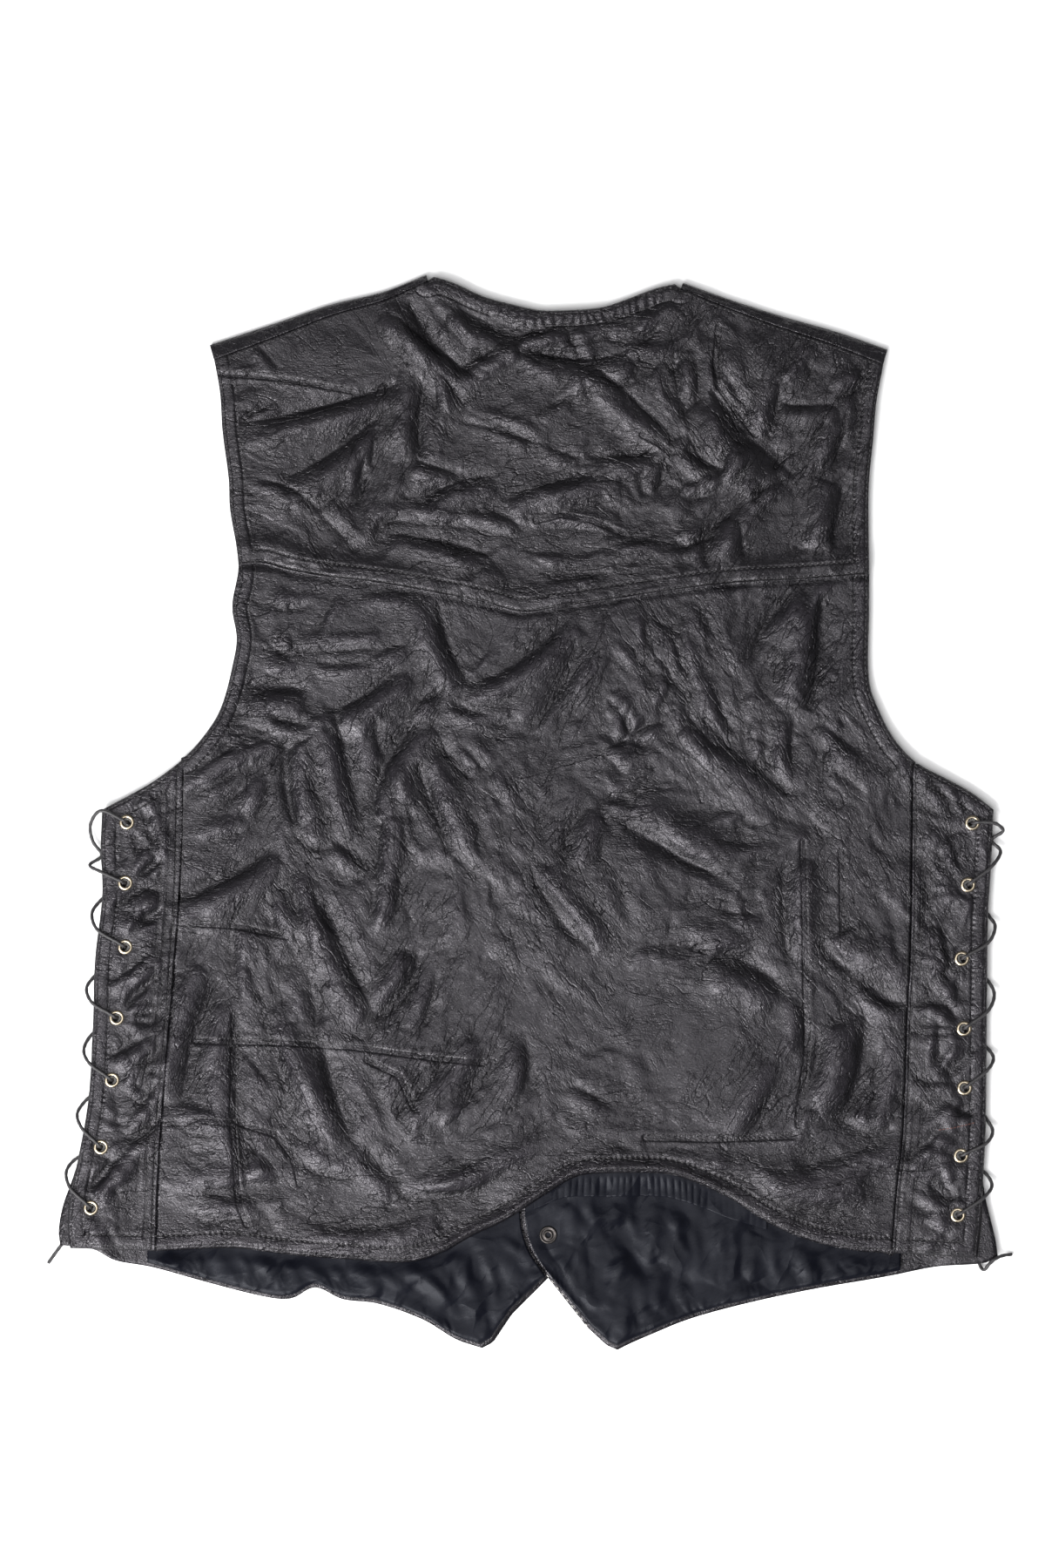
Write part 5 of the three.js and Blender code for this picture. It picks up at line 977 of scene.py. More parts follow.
def back_body():
    """The large panel, with its rolled hem, a ring pressed into it and a dip below the yoke."""
    coarse = 4
    u, v = steps(465, coarse), steps(420, coarse)
    armhole_share = 9 / 27
    x, y = patch(chain((YOKE_LOWER, 1)), chain((BODY_HEM, 1)),
                 chain((BODY_ARM_LEFT, armhole_share), (BODY_SEAM_LEFT, 1)),
                 chain((BODY_ARM_RIGHT, armhole_share), (BODY_SEAM_RIGHT, 1)), u, v)
    y = y + YOKE_LAP * (1 - smooth(0, 30, curve(YOKE_EDGE, x) - y))
    z, weights = back_level(x, y)
    edges = Seams([BODY_ARM_LEFT, BODY_ARM_RIGHT, BODY_HEM])
    rise, values = seam_values(x, y, edges, PATCHES)
    under_yoke = smooth(0, 3, curve(YOKE_EDGE, x) + 1.0 - y)
    sides = Seams([BODY_SEAM_LEFT, BODY_SEAM_RIGHT])
    near_side, _ = sides.measure(x, y)
    z = z + rise * under_yoke - 0.4 * bell(near_side, 1.4)
    above_hem = y - curve(HEM, x)
    middle = 0.2 + 0.8 * smooth(-80, -45, x) * (1 - smooth(112, 145, x))
    z = z + middle * (2.8 * bell(above_hem - 3.6, 2.0) - 0.8 * bell(above_hem - 10, 1.8))
    z = z - 0.6 * bell(np.hypot(x - RING_MARK[0], y - RING_MARK[1]) - 4, 0.8)
    z = z - 1.1 * bell(curve(YOKE_EDGE, x) - y - 0.6, 1.5)
    values.update(lay_values(weights))
    piece = skin("back_body_skin", x, y, z, 1.2, coarse, values, 3.0)
    finish_piece(piece, BODY_LEATHER, "back_body")
    return piece


BODY_SKIN = back_body()

# %% Back yoke
def back_yoke():
    """The yoke, on a finer grid, lapped over the body and gathered a little at the neck."""
    coarse = 4
    fine_pitch = 0.72 * PITCH
    u, v = steps(430, coarse, fine_pitch), steps(175, coarse, fine_pitch)
    neck = np.vstack((LEFT_SHOULDER_LINE[-1:], line_x(NECK, -62, 93), RIGHT_SHOULDER_LINE[:1]))
    x, y = patch(chain((LEFT_SHOULDER_LINE, 12 / 35), (neck, 25 / 35), (RIGHT_SHOULDER_LINE, 1)),
                 chain((YOKE_LOWER, 1)), chain((YOKE_SIDE_LEFT, 1)), chain((YOKE_SIDE_RIGHT, 1)), u, v)
    z, weights = back_level(x, y)
    edges = Seams([YOKE_SIDE_LEFT, neck, YOKE_SIDE_RIGHT, YOKE_LOWER])
    rise, values = seam_values(x, y, edges, PATCHES)
    above_edge = y - curve(YOKE_EDGE, x)
    low_edge = 1 - smooth(3, 8, above_edge)
    rise = rise + 1.2 * low_edge * (1 - np.minimum(above_edge.clip(0) / ROLL, 1)) ** 2
    lap = 1 - smooth(YOKE_LAP, YOKE_LAP + 12, above_edge)
    shoulders = Seams([LEFT_SHOULDER_LINE, RIGHT_SHOULDER_LINE])
    near_shoulder, _ = shoulders.measure(x, y)
    z = z + rise + YOKE_LIFT * lap - 0.15 * bell(near_shoulder, 1.6)
    near_neck, along_neck = Seams([neck]).measure(x, y)
    beat = np.cos(2 * np.pi * along_neck / 5.5 + 5 * noise(x / 16, y / 30, 83))
    z = z + 0.45 * beat * bell(near_neck - 6, 4.5) * smooth(-50, -20, x) * (1 - smooth(75, 95, x))
    values.update(lay_values(weights))
    piece = skin("back_yoke_skin", x, y, z, 1.1, coarse, values, 2.2)
    finish_piece(piece, YOKE_LEATHER, "back_yoke")
    return piece


YOKE_SKIN = back_yoke()

# %% [markdown]
# ## Side strips
# A narrow strip runs down each side of the back, outside the side seam, and carries the eyelets. The
# strip lies flat, so that the eyelets can be set, and its holes are cut with a boolean, as a punch would.

# %% Punch and strips
def punch(piece, centres, radius):
    """Cuts round holes through a skin that has no material yet."""
    drill = bmesh.new()
    for x, y in centres:
        ring = bmesh.ops.create_cone(drill, cap_ends=True, segments=24, depth=0.03,
                                     radius1=radius * MM, radius2=radius * MM)
        bmesh.ops.translate(drill, verts=ring["verts"], vec=(*placed(x, y), 0.005))
    mesh = bpy.data.meshes.new("punch")
    drill.to_mesh(mesh)
    drill.free()
    tool = bpy.data.objects.new("punch", mesh)
    bpy.context.collection.objects.link(tool)
    cut = piece.modifiers.new("holes", "BOOLEAN")
    cut.object = tool
    cut.operation = "DIFFERENCE"
    cut.solver = "MANIFOLD"
    graph = bpy.context.evaluated_depsgraph_get()
    whole = bpy.data.meshes.new_from_object(piece.evaluated_get(graph))
    piece.modifiers.remove(cut)
    whole.materials.clear()
    whole.polygons.foreach_set("material_index", [0] * len(whole.polygons))
    piece.data = whole
    bpy.data.objects.remove(tool)


# x and y of three places, depth, width, height and side of the bank
STRIP_FOLDS = [
    (-236, -62, -246, -68, -255, -79, 2.0, 4, 1.6, -1), (-243, -45, -256, -53, -271, -66, 1.7, 3.5, 1.5, -1),
    (-236, -195, -258, -213, -284, -243, 2.0, 4.5, 1.8, 1),
    (-261, -127, -251, -114, -245, -107, 1.4, 3, 1.2, 1),
    (-243, -142, -256, -148, -271, -157, 1.7, 4, 1.5, 1), (-245, -88, -257, -99, -272, -109, 1.7, 4, 1.6, 1),
    (-254, 10, -244, -10, -242, -29, 1.5, 3.5, 1.3, 1), (-236, -30, -247, -38, -258, -53, 1.8, 4, 1.6, -1),
    (-264, -174, -257, -163, -243, -159, 1.4, 3.5, 1.3, -1),
    (-262, -202, -250, -186, -240, -172, 1.4, 3.5, 1.3, -1),
    (245, -124, 262, -121, 274, -133, 1.8, 3.5, 1.5, -1), (263, -71, 269, -91, 267, -111, 1.8, 4, 1.5, -1),
    (263, -134, 262, -146, 264, -158, 1.4, 3.5, 1.2, -1), (240, -223, 250, -214, 263, -204, 1.6, 4, 1.4, -1),
    (255, 22, 264, 14, 272, 2, 1.6, 4, 1.4, -1), (266, -12, 264, -26, 273, -38, 1.5, 3.5, 1.3, -1),
    (252, -30, 254, -56, 250, -84, 1.2, 4, 1.0, -1), (284, -150, 276, -160, 268, -168, 1.2, 3.5, 1.1, 1),
    (266, -184, 276, -190, 284, -192, 1.4, 3.5, 1.2, -1), (256, -236, 266, -244, 282, -246, 1.4, 4, 1.2, -1),
]


def fan(eyelets, to_seam, seed):
    """Short creases that run from each eyelet towards the seam, where the lace pulls the leather."""
    rows = []
    chance = np.random.default_rng(seed)
    for ex, ey in eyelets:
        for turn in (-74, -48, -22, 8, 34, 62):
            angle = math.radians(turn + chance.uniform(-9, 9))
            bend = angle + chance.uniform(-0.25, 0.25)
            far = chance.uniform(17, 32)
            row = []
            for reach, way in ((6, angle), (6 + 0.5 * far, (angle + bend) / 2), (6 + far, bend)):
                row += [ex + to_seam * reach * math.cos(way), ey + reach * math.sin(way)]
            deep = chance.uniform(0.5, 1.3)
            rows.append((*row, deep, chance.uniform(2.0, 3.4), 0.9 * deep, int(chance.choice((-1, 1)))))
    return rows


def side_strip(name, node, outer, seam, armhole, seam_top, eyelets, to_seam):
    """The strip between the side seam and the laced edge, pulled into creases by the lace."""
    line_outer = line_y(outer, UNDERARM, outer[-1][0])
    line_seam = line_y(seam, seam_top, seam[-1][0]) - (to_seam * HALF, 0)
    line_top = line_y(armhole, UNDERARM, seam_top)
    line_hem = line_x(HEM, line_outer[-1][0], seam[-1][1])
    line_top[-1], line_hem[0], line_hem[-1] = line_seam[0], line_outer[-1], line_seam[-1]
    coarse = 2
    u, v = steps(52, coarse), steps(290, coarse)
    x, y = patch(chain((line_top, 1)), chain((line_hem, 1)),
                 chain((line_outer, 1)), chain((line_seam, 1)), u, v)
    z, weights = back_level(x, y)
    edges = Seams([line_top, line_hem, line_outer])
    rise, values = seam_values(x, y, edges, PATCHES, thick=0.35)
    quiet = np.ones(x.shape)
    for ex, ey in eyelets:
        quiet *= 1 - np.exp(-(((x - ex) ** 2 + (y - ey) ** 2) / 7.0**2) ** 2)
    side = Seams([line_seam])
    near_side, along_side = side.measure(x, y)
    rows = sum(0.5 * bell(near_side - row, 0.9) for row in SIDE_ROWS)
    beat = np.cos(2 * np.pi * along_side / 4.6 + 2 * noise(x / 30, y / 30, 81))
    ladder = beat * bell(near_side - 4.3, 2)
    pulled = fold_height(fan(eyelets, to_seam, 7), x, y, 0.6) + 1.4 * fold_height(STRIP_FOLDS, x, y, 0.5)
    z = z + quiet * np.clip(pulled, -1.4, 2.4)
    z = z + rise * quiet + 0.5 * (1 - smooth(9, 15, near_side)) - rows - 0.4 * bell(near_side, 1.4)
    z = np.maximum(z + 0.2 * ladder, 5.7)
    by_side = near_side < 9
    values["seam_near"] = np.where(by_side, near_side, values["seam_near"])
    values["seam_along"] = np.where(by_side, along_side, values["seam_along"])
    values["stitched"] = np.where(by_side, 0.8, values["stitched"] * quiet)
    values.update(lay_values(weights))
    piece = skin(name, x, y, z, 1.3, coarse, values, 4.9)
    punch(piece, eyelets, EYELET_HOLE)
    finish_piece(piece, BODY_LEATHER, node)
    return piece


SIDE_LEFT_SKIN = side_strip("side_left_skin", "back_side_left", SIDE_LEFT, SEAM_LEFT, ARMHOLE_LEFT,
                            SIDE_SEAM_TOP_LEFT, EYELETS_LEFT, 1)
SIDE_RIGHT_SKIN = side_strip("side_right_skin", "back_side_right", SIDE_RIGHT, SEAM_RIGHT, ARMHOLE_RIGHT,
                             SIDE_SEAM_TOP_RIGHT, EYELETS_RIGHT, -1)

# %% [markdown]
# ## Front panels
# The fronts lie face down on the table, so only their shoulders, their corners and a narrow edge round
# the linings show. Each is one sheet that runs flat under the back and turns over at the shoulder, where
# it meets the yoke. The turn is a short table of its section, from the seam on the back, over the fold,
# to the flat part below.

# %% Fronts
# shares of the turned width for the outer and inner face, share of the back's level that both follow, and
# what is added to it for the outer and the inner face
TURN = [
    (1.00, 1.00, 1.0, 0.1, -1.5), (0.70, 0.72, 1.0, -0.4, -2.0), (0.42, 0.48, 1.0, -1.3, -2.7),
    (0.22, 0.36, 0.5, 1.4, 0.5), (0.08, 0.29, 0.0, 3.7, 2.9), (0.0, 0.22, 0.0, 2.5, 2.5),
    (0.10, 0.30, 0.0, 0.7, 2.1), (0.50, 0.50, 0.0, 0.0, 1.6),
]
TURN_STEPS = 22


def turn_rows(shoulder, to_side, shares):
    """Outer and inner points of the turned shoulder, row by row."""
    spot = np.linspace(0, len(TURN) - 1, TURN_STEPS)
    keys = range(len(TURN))
    outer_share = curve([(k, TURN[k][0]) for k in keys], spot)
    inner_share = curve([(k, TURN[k][1]) for k in keys], spot)
    rows = []
    for r in range(TURN_STEPS):
        outer = chain((below_shoulder(shoulder, to_side, outer_share[r]), 1))(shares)
        inner = chain((below_shoulder(shoulder, to_side, inner_share[r]), 1))(shares)
        rise, _ = back_level(outer[:, 0], outer[:, 1] - 1, 0.9)
        top = np.maximum(4.6, rise) + 0.5 * noise(outer[:, 0] / 7, outer[:, 1] / 4, 91)
        follow = curve([(k, TURN[k][2]) for k in keys], spot[r])
        outer_z = follow * top + curve([(k, TURN[k][3]) for k in keys], spot[r])
        inner_z = follow * top + curve([(k, TURN[k][4]) for k in keys], spot[r])
        rows.append((np.column_stack((inner, inner_z)), np.column_stack((outer, outer_z.clip(0)))))
    return rows


def front_panel(name, node, shoulder, armhole, side, edge, hem, to_side, eyelets):
    """A front, from the seam at the shoulder over the turn and flat down to its pointed hem."""
    rows = 20
    start = below_shoulder(shoulder, to_side, 0, 12)
    k = np.linspace(0, 20, 161)
    arm_y = np.linspace(start[0][1], UNDERARM, 161)
    inset = FRONT_INSET * smooth(-2, 4, k) * (k < 19.9)
    arm = np.column_stack((curve(armhole, arm_y) - to_side * inset, arm_y - 1.5 * smooth(13, 15, k)))
    side_line = line_y(side, side[0][0] - 1, side[-1][0])
    underarm = (side[0][1], side[0][0] - 1)
    arm[0], arm[-1], side_line[0] = start[0], underarm, underarm
    hem_line = line_x(hem, *sorted((side[-1][1], edge[-1][0])))
    if to_side > 0:
        hem_line = hem_line[::-1]
    hem_line[0], hem_line[-1] = side_line[-1], edge[-1]
    arm_share, low_share = 8 / rows, (rows - 3) / rows
    u = np.linspace(0, 1, 2 * round(250 / PITCH / 4) + 1)
    v = np.linspace(0, 1, 2 * round(620 / PITCH / 4) + 1)
    opening = chain(([start[-1], edge[1], edge[2]], arm_share * 0.75), (edge[2:4], low_share), (edge[3:], 1))
    x, y = patch(chain((start, 1)), chain((hem_line, 1)),
                 chain((arm, arm_share), (side_line, 1)), opening, u, v)
    width = np.hypot(x[:, -1] - x[:, 0], y[:, -1] - y[:, 0])[:, None]
    across = u[None, :] * width
    lift = FRONT_SIDE_LIFT * (1 - smooth(STRIP_FLAT, STRIP_RAMP, across)) * (1 - smooth(4, 44, y))
    lift = lift * smooth(-302, -286, y)
    if to_side > 0:
        lift = lift + OVERLAP_LIFT * (1 - smooth(44, 57, width - across)) * (1 - smooth(202, 246, y))
    turned = turn_rows(shoulder, to_side, u)
    upper = np.concatenate((np.array([r[0] for r in turned]), np.dstack((x, y, lift + FRONT_LEATHER))))
    lower = np.concatenate((np.array([r[1] for r in turned]), np.dstack((x, y, lift))))
    piece = closed_grid(name, upper, lower, flip=to_side > 0)
    both = np.concatenate((upper.reshape(-1, 3), lower.reshape(-1, 3)))
    weights = lay_weights(both[:, 0], both[:, 1])
    values = lay_values(weights)
    even = np.ones(weights[0].shape)
    values.update(proud=0.45 * even, worked=0.85 * even, seam_near=30 * even, seam_along=0 * even,
                  stitched=0 * even)
    keep_values(piece, values, weights[0].size)
    punch(piece, eyelets, EYELET_HOLE)
    print(name, "has", len(piece.data.polygons), "faces")
    finish_piece(piece, BODY_LEATHER, node)
    return piece


front_panel("front_left_skin", "front_left", SHOULDER_LEFT, ARMHOLE_LEFT,
            FRONT_SIDE_LEFT, FRONT_EDGE_LEFT, FRONT_HEM_LEFT, -1, EYELETS_LEFT)
FRONT_RIGHT_SKIN = front_panel("front_right_skin", "front_right", SHOULDER_RIGHT, ARMHOLE_RIGHT,
                               FRONT_SIDE_RIGHT, FRONT_EDGE_RIGHT, FRONT_HEM_RIGHT, 1, EYELETS_RIGHT)

# %% [markdown]
# ## Linings and facing
# The satin linings are softer than the leather. They pucker where the leather edge is turned over them,
# and the facing of the back hem is gathered. Satin shines along its folds, so its material is smoother
# and has some sheen.

# %% Satin
def satin(name, colour, painted_sheen_colour):
    s = Shader(name)
    place = s.add("ShaderNodeTexCoord").outputs["Object"]
    broad = s.noise(place, 60, 3.0)
    weave = s.add("ShaderNodeTexWave", {"Vector": place, "Scale": 900.0, "Distortion": 1.5, "Detail": 1.0},
                  wave_type="BANDS", bands_direction="DIAGONAL").outputs["Fac"]
    soft = s.noise(s.turned(place, 0.5, (2.5, 1.0, 1.0)), 190, 3.0, 0.6)
    # Painted sheen: in broad patches the colour turns paler, towards the sheen colour.
    s.set(s.main.inputs["Base Color"], s.mix(s.ramp(broad, 0.35, 0.7), (*colour, 1), (*painted_sheen_colour, 1)))
    s.set(s.main.inputs["Roughness"], s.ramp(broad, 0.3, 0.7, 0.27, 0.38))
    s.main.inputs["Specular IOR Level"].default_value = 0.10
    s.main.inputs["Specular Tint"].default_value = (0.9, 0.92, 1.0, 1)
    planes = s.cells(s.turned(s.warped(place, 26, 0.03), 0.9, (1.8, 1.0, 1.0)), 30)
    normal = s.bump(s.ramp(planes, 0.0, 0.4), 0.0018)
    normal = s.bump(soft, 0.0003, normal)
    s.set(s.main.inputs["Normal"], s.bump(weave, 0.00002, normal))
    return s.material


LINING_SATIN = satin("dark_satin", (0.0027, 0.0030, 0.0052), (0.0050, 0.0054, 0.0082))
print("satin ready")

# %% Puckers of the linings
# x and y of three places, height, width
PUCKERS = [
    (-236, -276, -232, -283, -226, -292, 1.4, 5), (-206, -278, -199, -287, -196, -298, 1.8, 6),
    (-176, -282, -168, -292, -160, -304, 2.0, 6), (-150, -284, -140, -292, -136, -300, 1.8, 6),
    (-118, -288, -104, -298, -96, -310, 2.0, 7), (-86, -290, -66, -300, -52, -316, 2.2, 7),
    (-52, -284, -40, -300, -34, -322, 2.2, 7), (-38, -276, -18, -288, -4, -302, 1.8, 7),
    (24, -250, 28, -262, 26, -276, 2.0, 7), (58, -250, 56, -258, 48, -266, 1.6, 6),
    (64, -282, 55, -298, 50, -318, 2.4, 6), (84, -252, 78, -274, 80, -288, 2.2, 7),
    (86, -290, 82, -304, 84, -318, 1.8, 6), (118, -264, 122, -282, 116, -302, 2.2, 7),
    (146, -270, 142, -286, 146, -300, 2.0, 6), (170, -278, 176, -288, 186, -298, 1.8, 6),
    (206, -284, 210, -290, 218, -295, 1.2, 5),
]
# x and y of three places, height, width: shorter ones, on the skin alone
SMALL_PUCKERS = [
    (-216, -280, -212, -288, -214, -296, 0.7, 3), (-188, -282, -182, -292, -184, -302, 0.8, 3),
    (-160, -286, -152, -294, -150, -304, 0.8, 3.5), (-128, -290, -122, -298, -124, -306, 0.8, 3.5),
    (-104, -290, -92, -298, -78, -306, 0.9, 4), (-76, -294, -58, -306, -46, -324, 1.0, 4),
    (-60, -290, -50, -304, -44, -316, 0.9, 3.5), (-30, -280, -24, -298, -22, -318, 1.0, 4),
    (-22, -272, -8, -280, 2, -290, 0.8, 3.5), (36, -250, 40, -260, 34, -270, 0.9, 3.5),
    (38, -262, 52, -260, 66, -261, 1.0, 3), (66, -252, 66, -264, 72, -276, 0.9, 3.5),
    (94, -256, 96, -272, 104, -286, 1.0, 4), (100, -262, 108, -280, 106, -300, 0.9, 4),
    (40, -290, 36, -304, 44, -318, 0.9, 4), (58, -306, 62, -322, 58, -334, 1.0, 4),
    (72, -296, 72, -312, 76, -326, 0.8, 3.5), (98, -296, 96, -308, 102, -318, 0.8, 3.5),
    (130, -268, 132, -284, 128, -300, 0.9, 3.5), (156, -274, 156, -288, 160, -300, 0.8, 3.5),
    (190, -284, 194, -292, 200, -298, 0.6, 3), (16, -284, 26, -296, 32, -312, 0.9, 4),
]


def pucker_height(rows, x, y):
    z = np.zeros(x.shape)
    for row in rows:
        signed, share = near_spine(row, x, y)
        fade = np.sqrt(np.sin(np.pi * np.clip(share, 0, 1)).clip(0))
        z += np.where((share > 0) & (share < 1), row[6] * fade * bell(signed, row[7]), 0)
    return z


def search_tree(piece):
    return BVHTree.FromObject(piece, bpy.context.evaluated_depsgraph_get())


def look_down(tree, x, y):
    """Where a ray from above first meets the faces of a tree, or None."""
    return tree.ray_cast(Vector((*placed(x, y), 0.05)), Vector((0, 0, -1)))[0]


def drop_on(piece, x, y, default):
    """Level of a piece's topmost face under each place, in millimetres."""
    tree = search_tree(piece)
    level = np.full(x.size, float(default))
    for i, (a, b) in enumerate(zip(x.ravel().tolist(), y.ravel().tolist())):
        hit = look_down(tree, a, b)
        if hit is not None:
            level[i] = hit.z / MM
    return level.reshape(x.shape)


print("puckers:", len(PUCKERS) + len(SMALL_PUCKERS))

# %% Linings
# y and x of the edge of the right front where both linings meet it
LAP_EDGE = [(-230, -5.5), (-262, -5.5), (-281, 0), (-299, 12)]


def lining(name, node, top, bottom, left, right, size, base):
    """A lining on the level that base gives, puckered, with gathers along its hem."""
    coarse = 2
    u, v = steps(size[0] * 1.2, coarse), steps(size[1] * 1.2, coarse)
    x, y = patch(top, bottom, left, right, u, v)
    shown = smooth(-2, 10, curve(HEM, x) - y)
    above_hem = (1 - v)[:, None] * (y[0] - y[-1])[None, :]
    hem_band = 1 - smooth(2, 15, above_hem)
    gathers = np.abs(noise(x / 5.5 + 2 * noise(x / 20, y / 20, 5), y / 16, 61))
    wx, wy = x + 5 * noise(x / 25, y / 25, 64), y + 5 * noise(x / 25, y / 25, 65)
    soft = 0.9 * (1 + facets(wx / 26, wy / 34, 62)) + 0.35 * facets(wx / 11, wy / 15, 63)
    waves = 0.5 * soft + 1.5 * np.abs(noise(wx / 24, wy / 30, 66)) + 0.8 * gathers * (0.15 + 0.85 * hem_band)
    puckers = 0.85 * pucker_height(PUCKERS, x, y) + pucker_height(SMALL_PUCKERS, x, y)
    z = base(x, y) + SOFT_GAP + LINING + shown * (puckers + waves)
    z = z + 0.5 * hem_band * shown - 1.0 * bell(above_hem, 1.5)
    piece = skin(name, x, y, z, 0.6, coarse, {}, 1.7)
    finish_piece(piece, LINING_SATIN, node)
    return piece


def left_lining():
    top = line_x(HEM, -246, -7) + (0, HIDDEN_LINING)
    hem = line_x(FRONT_HEM_LEFT, -246, -34) + (0, LINING_INSET)
    slant = np.array([(-32, -340.6), (-25.5, -337), (-14, -319.5), (7.5, -299)])
    edge = line_y(LAP_EDGE, top[-1][1], -297) - (0.8, 0)
    edge[0], slant[3], hem[-1] = top[-1], edge[-1], slant[0]
    return lining("lining_left_skin", "front_lining_left", chain((top, 1)), chain((hem, 0.8), (slant, 1)),
                  chain(([top[0], hem[0]], 1)), chain((edge, 1)), (250, 70),
                  lambda x, y: np.full(x.shape, FRONT_LEATHER))


def right_lining():
    top = line_x(HEM, -3, 238) + (0, HIDDEN_LINING)
    hem = line_x(FRONT_HEM_RIGHT, 60, 238) + (0, LINING_INSET)
    slant = np.array([(12.6, -296), (38.5, -328.5), (50.5, -339), (56, -341.5)])
    edge = line_y(LAP_EDGE, top[0][1], -296) + (LINING_INSET, 0)
    edge[0], slant[0] = top[0], edge[-1]
    hem = np.vstack((slant[3:], hem))
    return lining("lining_right_skin", "front_lining_right", chain((top, 1)), chain((slant, 0.25), (hem, 1)),
                  chain((edge, 1)), chain(([top[-1], hem[-1]], 1)), (250, 90),
                  lambda x, y: drop_on(FRONT_RIGHT_SKIN, x, y, FRONT_LEATHER + OVERLAP_LIFT))


left_lining()
LINING_RIGHT_SKIN = right_lining()

# %% Gathered facing
GATHER = 4.4


def hem_facing():
    """The facing below the arch of the hem: it hangs from the back and comes to lie on the lining."""
    x0, x1, gap = 2, 152, 0.6
    columns, rows = round((x1 - x0) / gap), 24
    u = np.linspace(x0, x1, columns + 1)
    hem = curve(HEM, u)
    low = curve(FACING_EDGE, u)
    v = np.linspace(0, 1, rows + 1)[:, None]
    x = np.repeat(u[None, :], rows + 1, axis=0)
    y = (hem + 8)[None, :] + v * (low - hem - 8)[None, :]
    under = drop_on(LINING_RIGHT_SKIN, x, y, 5.5)
    body, _ = back_level(x, hem[None, :] + 1.0 + 0 * y)
    high = body - LEATHER - SOFT_GAP - 0.6
    fall = smooth(0.42, 0.85, v)
    z = high + fall * (np.minimum(under + SOFT_GAP + LINING, high) - high)
    phase = x / GATHER + 0.35 * noise(x / 14, y / 30, 71)
    wave = np.abs(np.sin(np.pi * phase)) ** 0.7
    middle = smooth(10, 30, x) * (1 - smooth(104, 122, x))
    ribs = smooth(0.35, 0.55, v) * (0.45 * wave - 0.35) * (1 - 0.35 * smooth(0.8, 1, v))
    z = z + ribs * (0.25 + 0.75 * middle)
    piece = skin("hem_facing_skin", x, y, z, 0.6, 1, {}, 3.0)
    finish_piece(piece, LINING_SATIN, "back_hem_facing")


hem_facing()

# %% [markdown]
# ## Laces
# One thin leather lace runs down each side. It comes up through the first eyelet, goes round the edge to
# the underside, and up over the edge into each next one. The places along the route are those of the
# solid lace, in millimetres. The lace itself is two plies twisted together, so its section is an oval
# that turns as it runs.

# %% Route of a lace
FLOOR_LEVEL = LACE / 2 + 0.03
OVER = SIDE_LEVEL + LACE / 2 + 0.9
# where each loop leaves, its furthest point, where it returns
LOOPS_LEFT = [(-27, -283, -33, -37), (-56, -281.5, -64, -74), (-104, -285, -112, -121),
              (-143, -286.8, -152, -160), (-185, -291, -193, -202), (-223, -298, -230, -240)]
LOOPS_RIGHT = [(-17, 302, -24, -33), (-66, 298.5, -72, -82), (-108, 298, -116, -126),
               (-151, 297.5, -157, -164), (-196, 297, -204, -211), (-232, 296.5, -239, -246)]
LACE_START_LEFT = [(-248, -12, 1.23), (-253, -9, 1.23), (-258, -6.2, 1.33), (-259, -5.5, 3.2),
                   (-259, -5.5, 6.2),
                   (-259.8, -5.1, 8.3), (-261.4, -4.2, 9.45), (-264, -2.8, 9.45), (-276, 1.8, 8.8),
                   (-282.5, -7, 5.6), (-281, -18, 3.6)]
LACE_END_LEFT = [(-291, -264, 1.23), (-299, -274, 1.23), (-305, -282, 1.23), (-310, -289, 1.23)]
LACE_START_RIGHT = [(272, -14, 1.23), (278, -10, 1.23), (282.8, -6.8, 1.33), (283.8, -6, 3.2),
                    (283.8, -6, 6.2),
                    (284.7, -5.8, 8.3), (286.5, -5.6, 9.45), (289.4, -5.4, 9.45), (298.8, -6.4, 8.8),
                    (303.6, -11, 6.4)]
LACE_END_RIGHT = [(281, -270, 1.23), (286.5, -283, 1.23), (289.5, -291.4, 1.73), (291.6, -293, 4.4),
                  (294.6, -289.2, 6.2), (298.5, -285.8, 6.2), (303.8, -283.9, 3.6), (309.5, -283.3, 1.23)]


def lace_route(eyelets, loops, side, front_side, to_side, start, end):
    """Places along a lace: out at the edge below, round it, over the strip and down the next eyelet."""
    route = list(start)
    for i, (eye_x, eye_y) in enumerate(eyelets[1:]):
        out_y, far_x, far_y, in_y = loops[i]
        from_x, from_y = eyelets[i]
        out_x = float(curve(front_side, out_y)) + to_side * 3.2
        in_x = float(curve(side, in_y)) + to_side * 1.0
        if i > 0:
            route.append(((from_x + out_x) / 2, (from_y + out_y) / 2, FLOOR_LEVEL))
        route.append((out_x, out_y, FLOOR_LEVEL + (0.9 if i > 0 else 2)))
        route.append((far_x, far_y, 5.2))
        route.append((in_x, in_y, OVER - 0.6))
        far = math.hypot(in_x - eye_x, in_y - eye_y)
        for r, z in ((5.6, OVER + 0.05), (2.7, OVER + 0.05), (0.9, OVER - 1.1), (0, 6.2), (0, 3.2)):
            route.append((eye_x + (in_x - eye_x) / far * r, eye_y + (in_y - eye_y) / far * r, z))
        bend = (to_side * 1.3, -1.7) if i + 1 < len(loops) else (to_side * 1.0, -1.9)
        route.append((eye_x + bend[0], eye_y + bend[1], FLOOR_LEVEL + 0.05))
    return np.array(route + list(end), float)


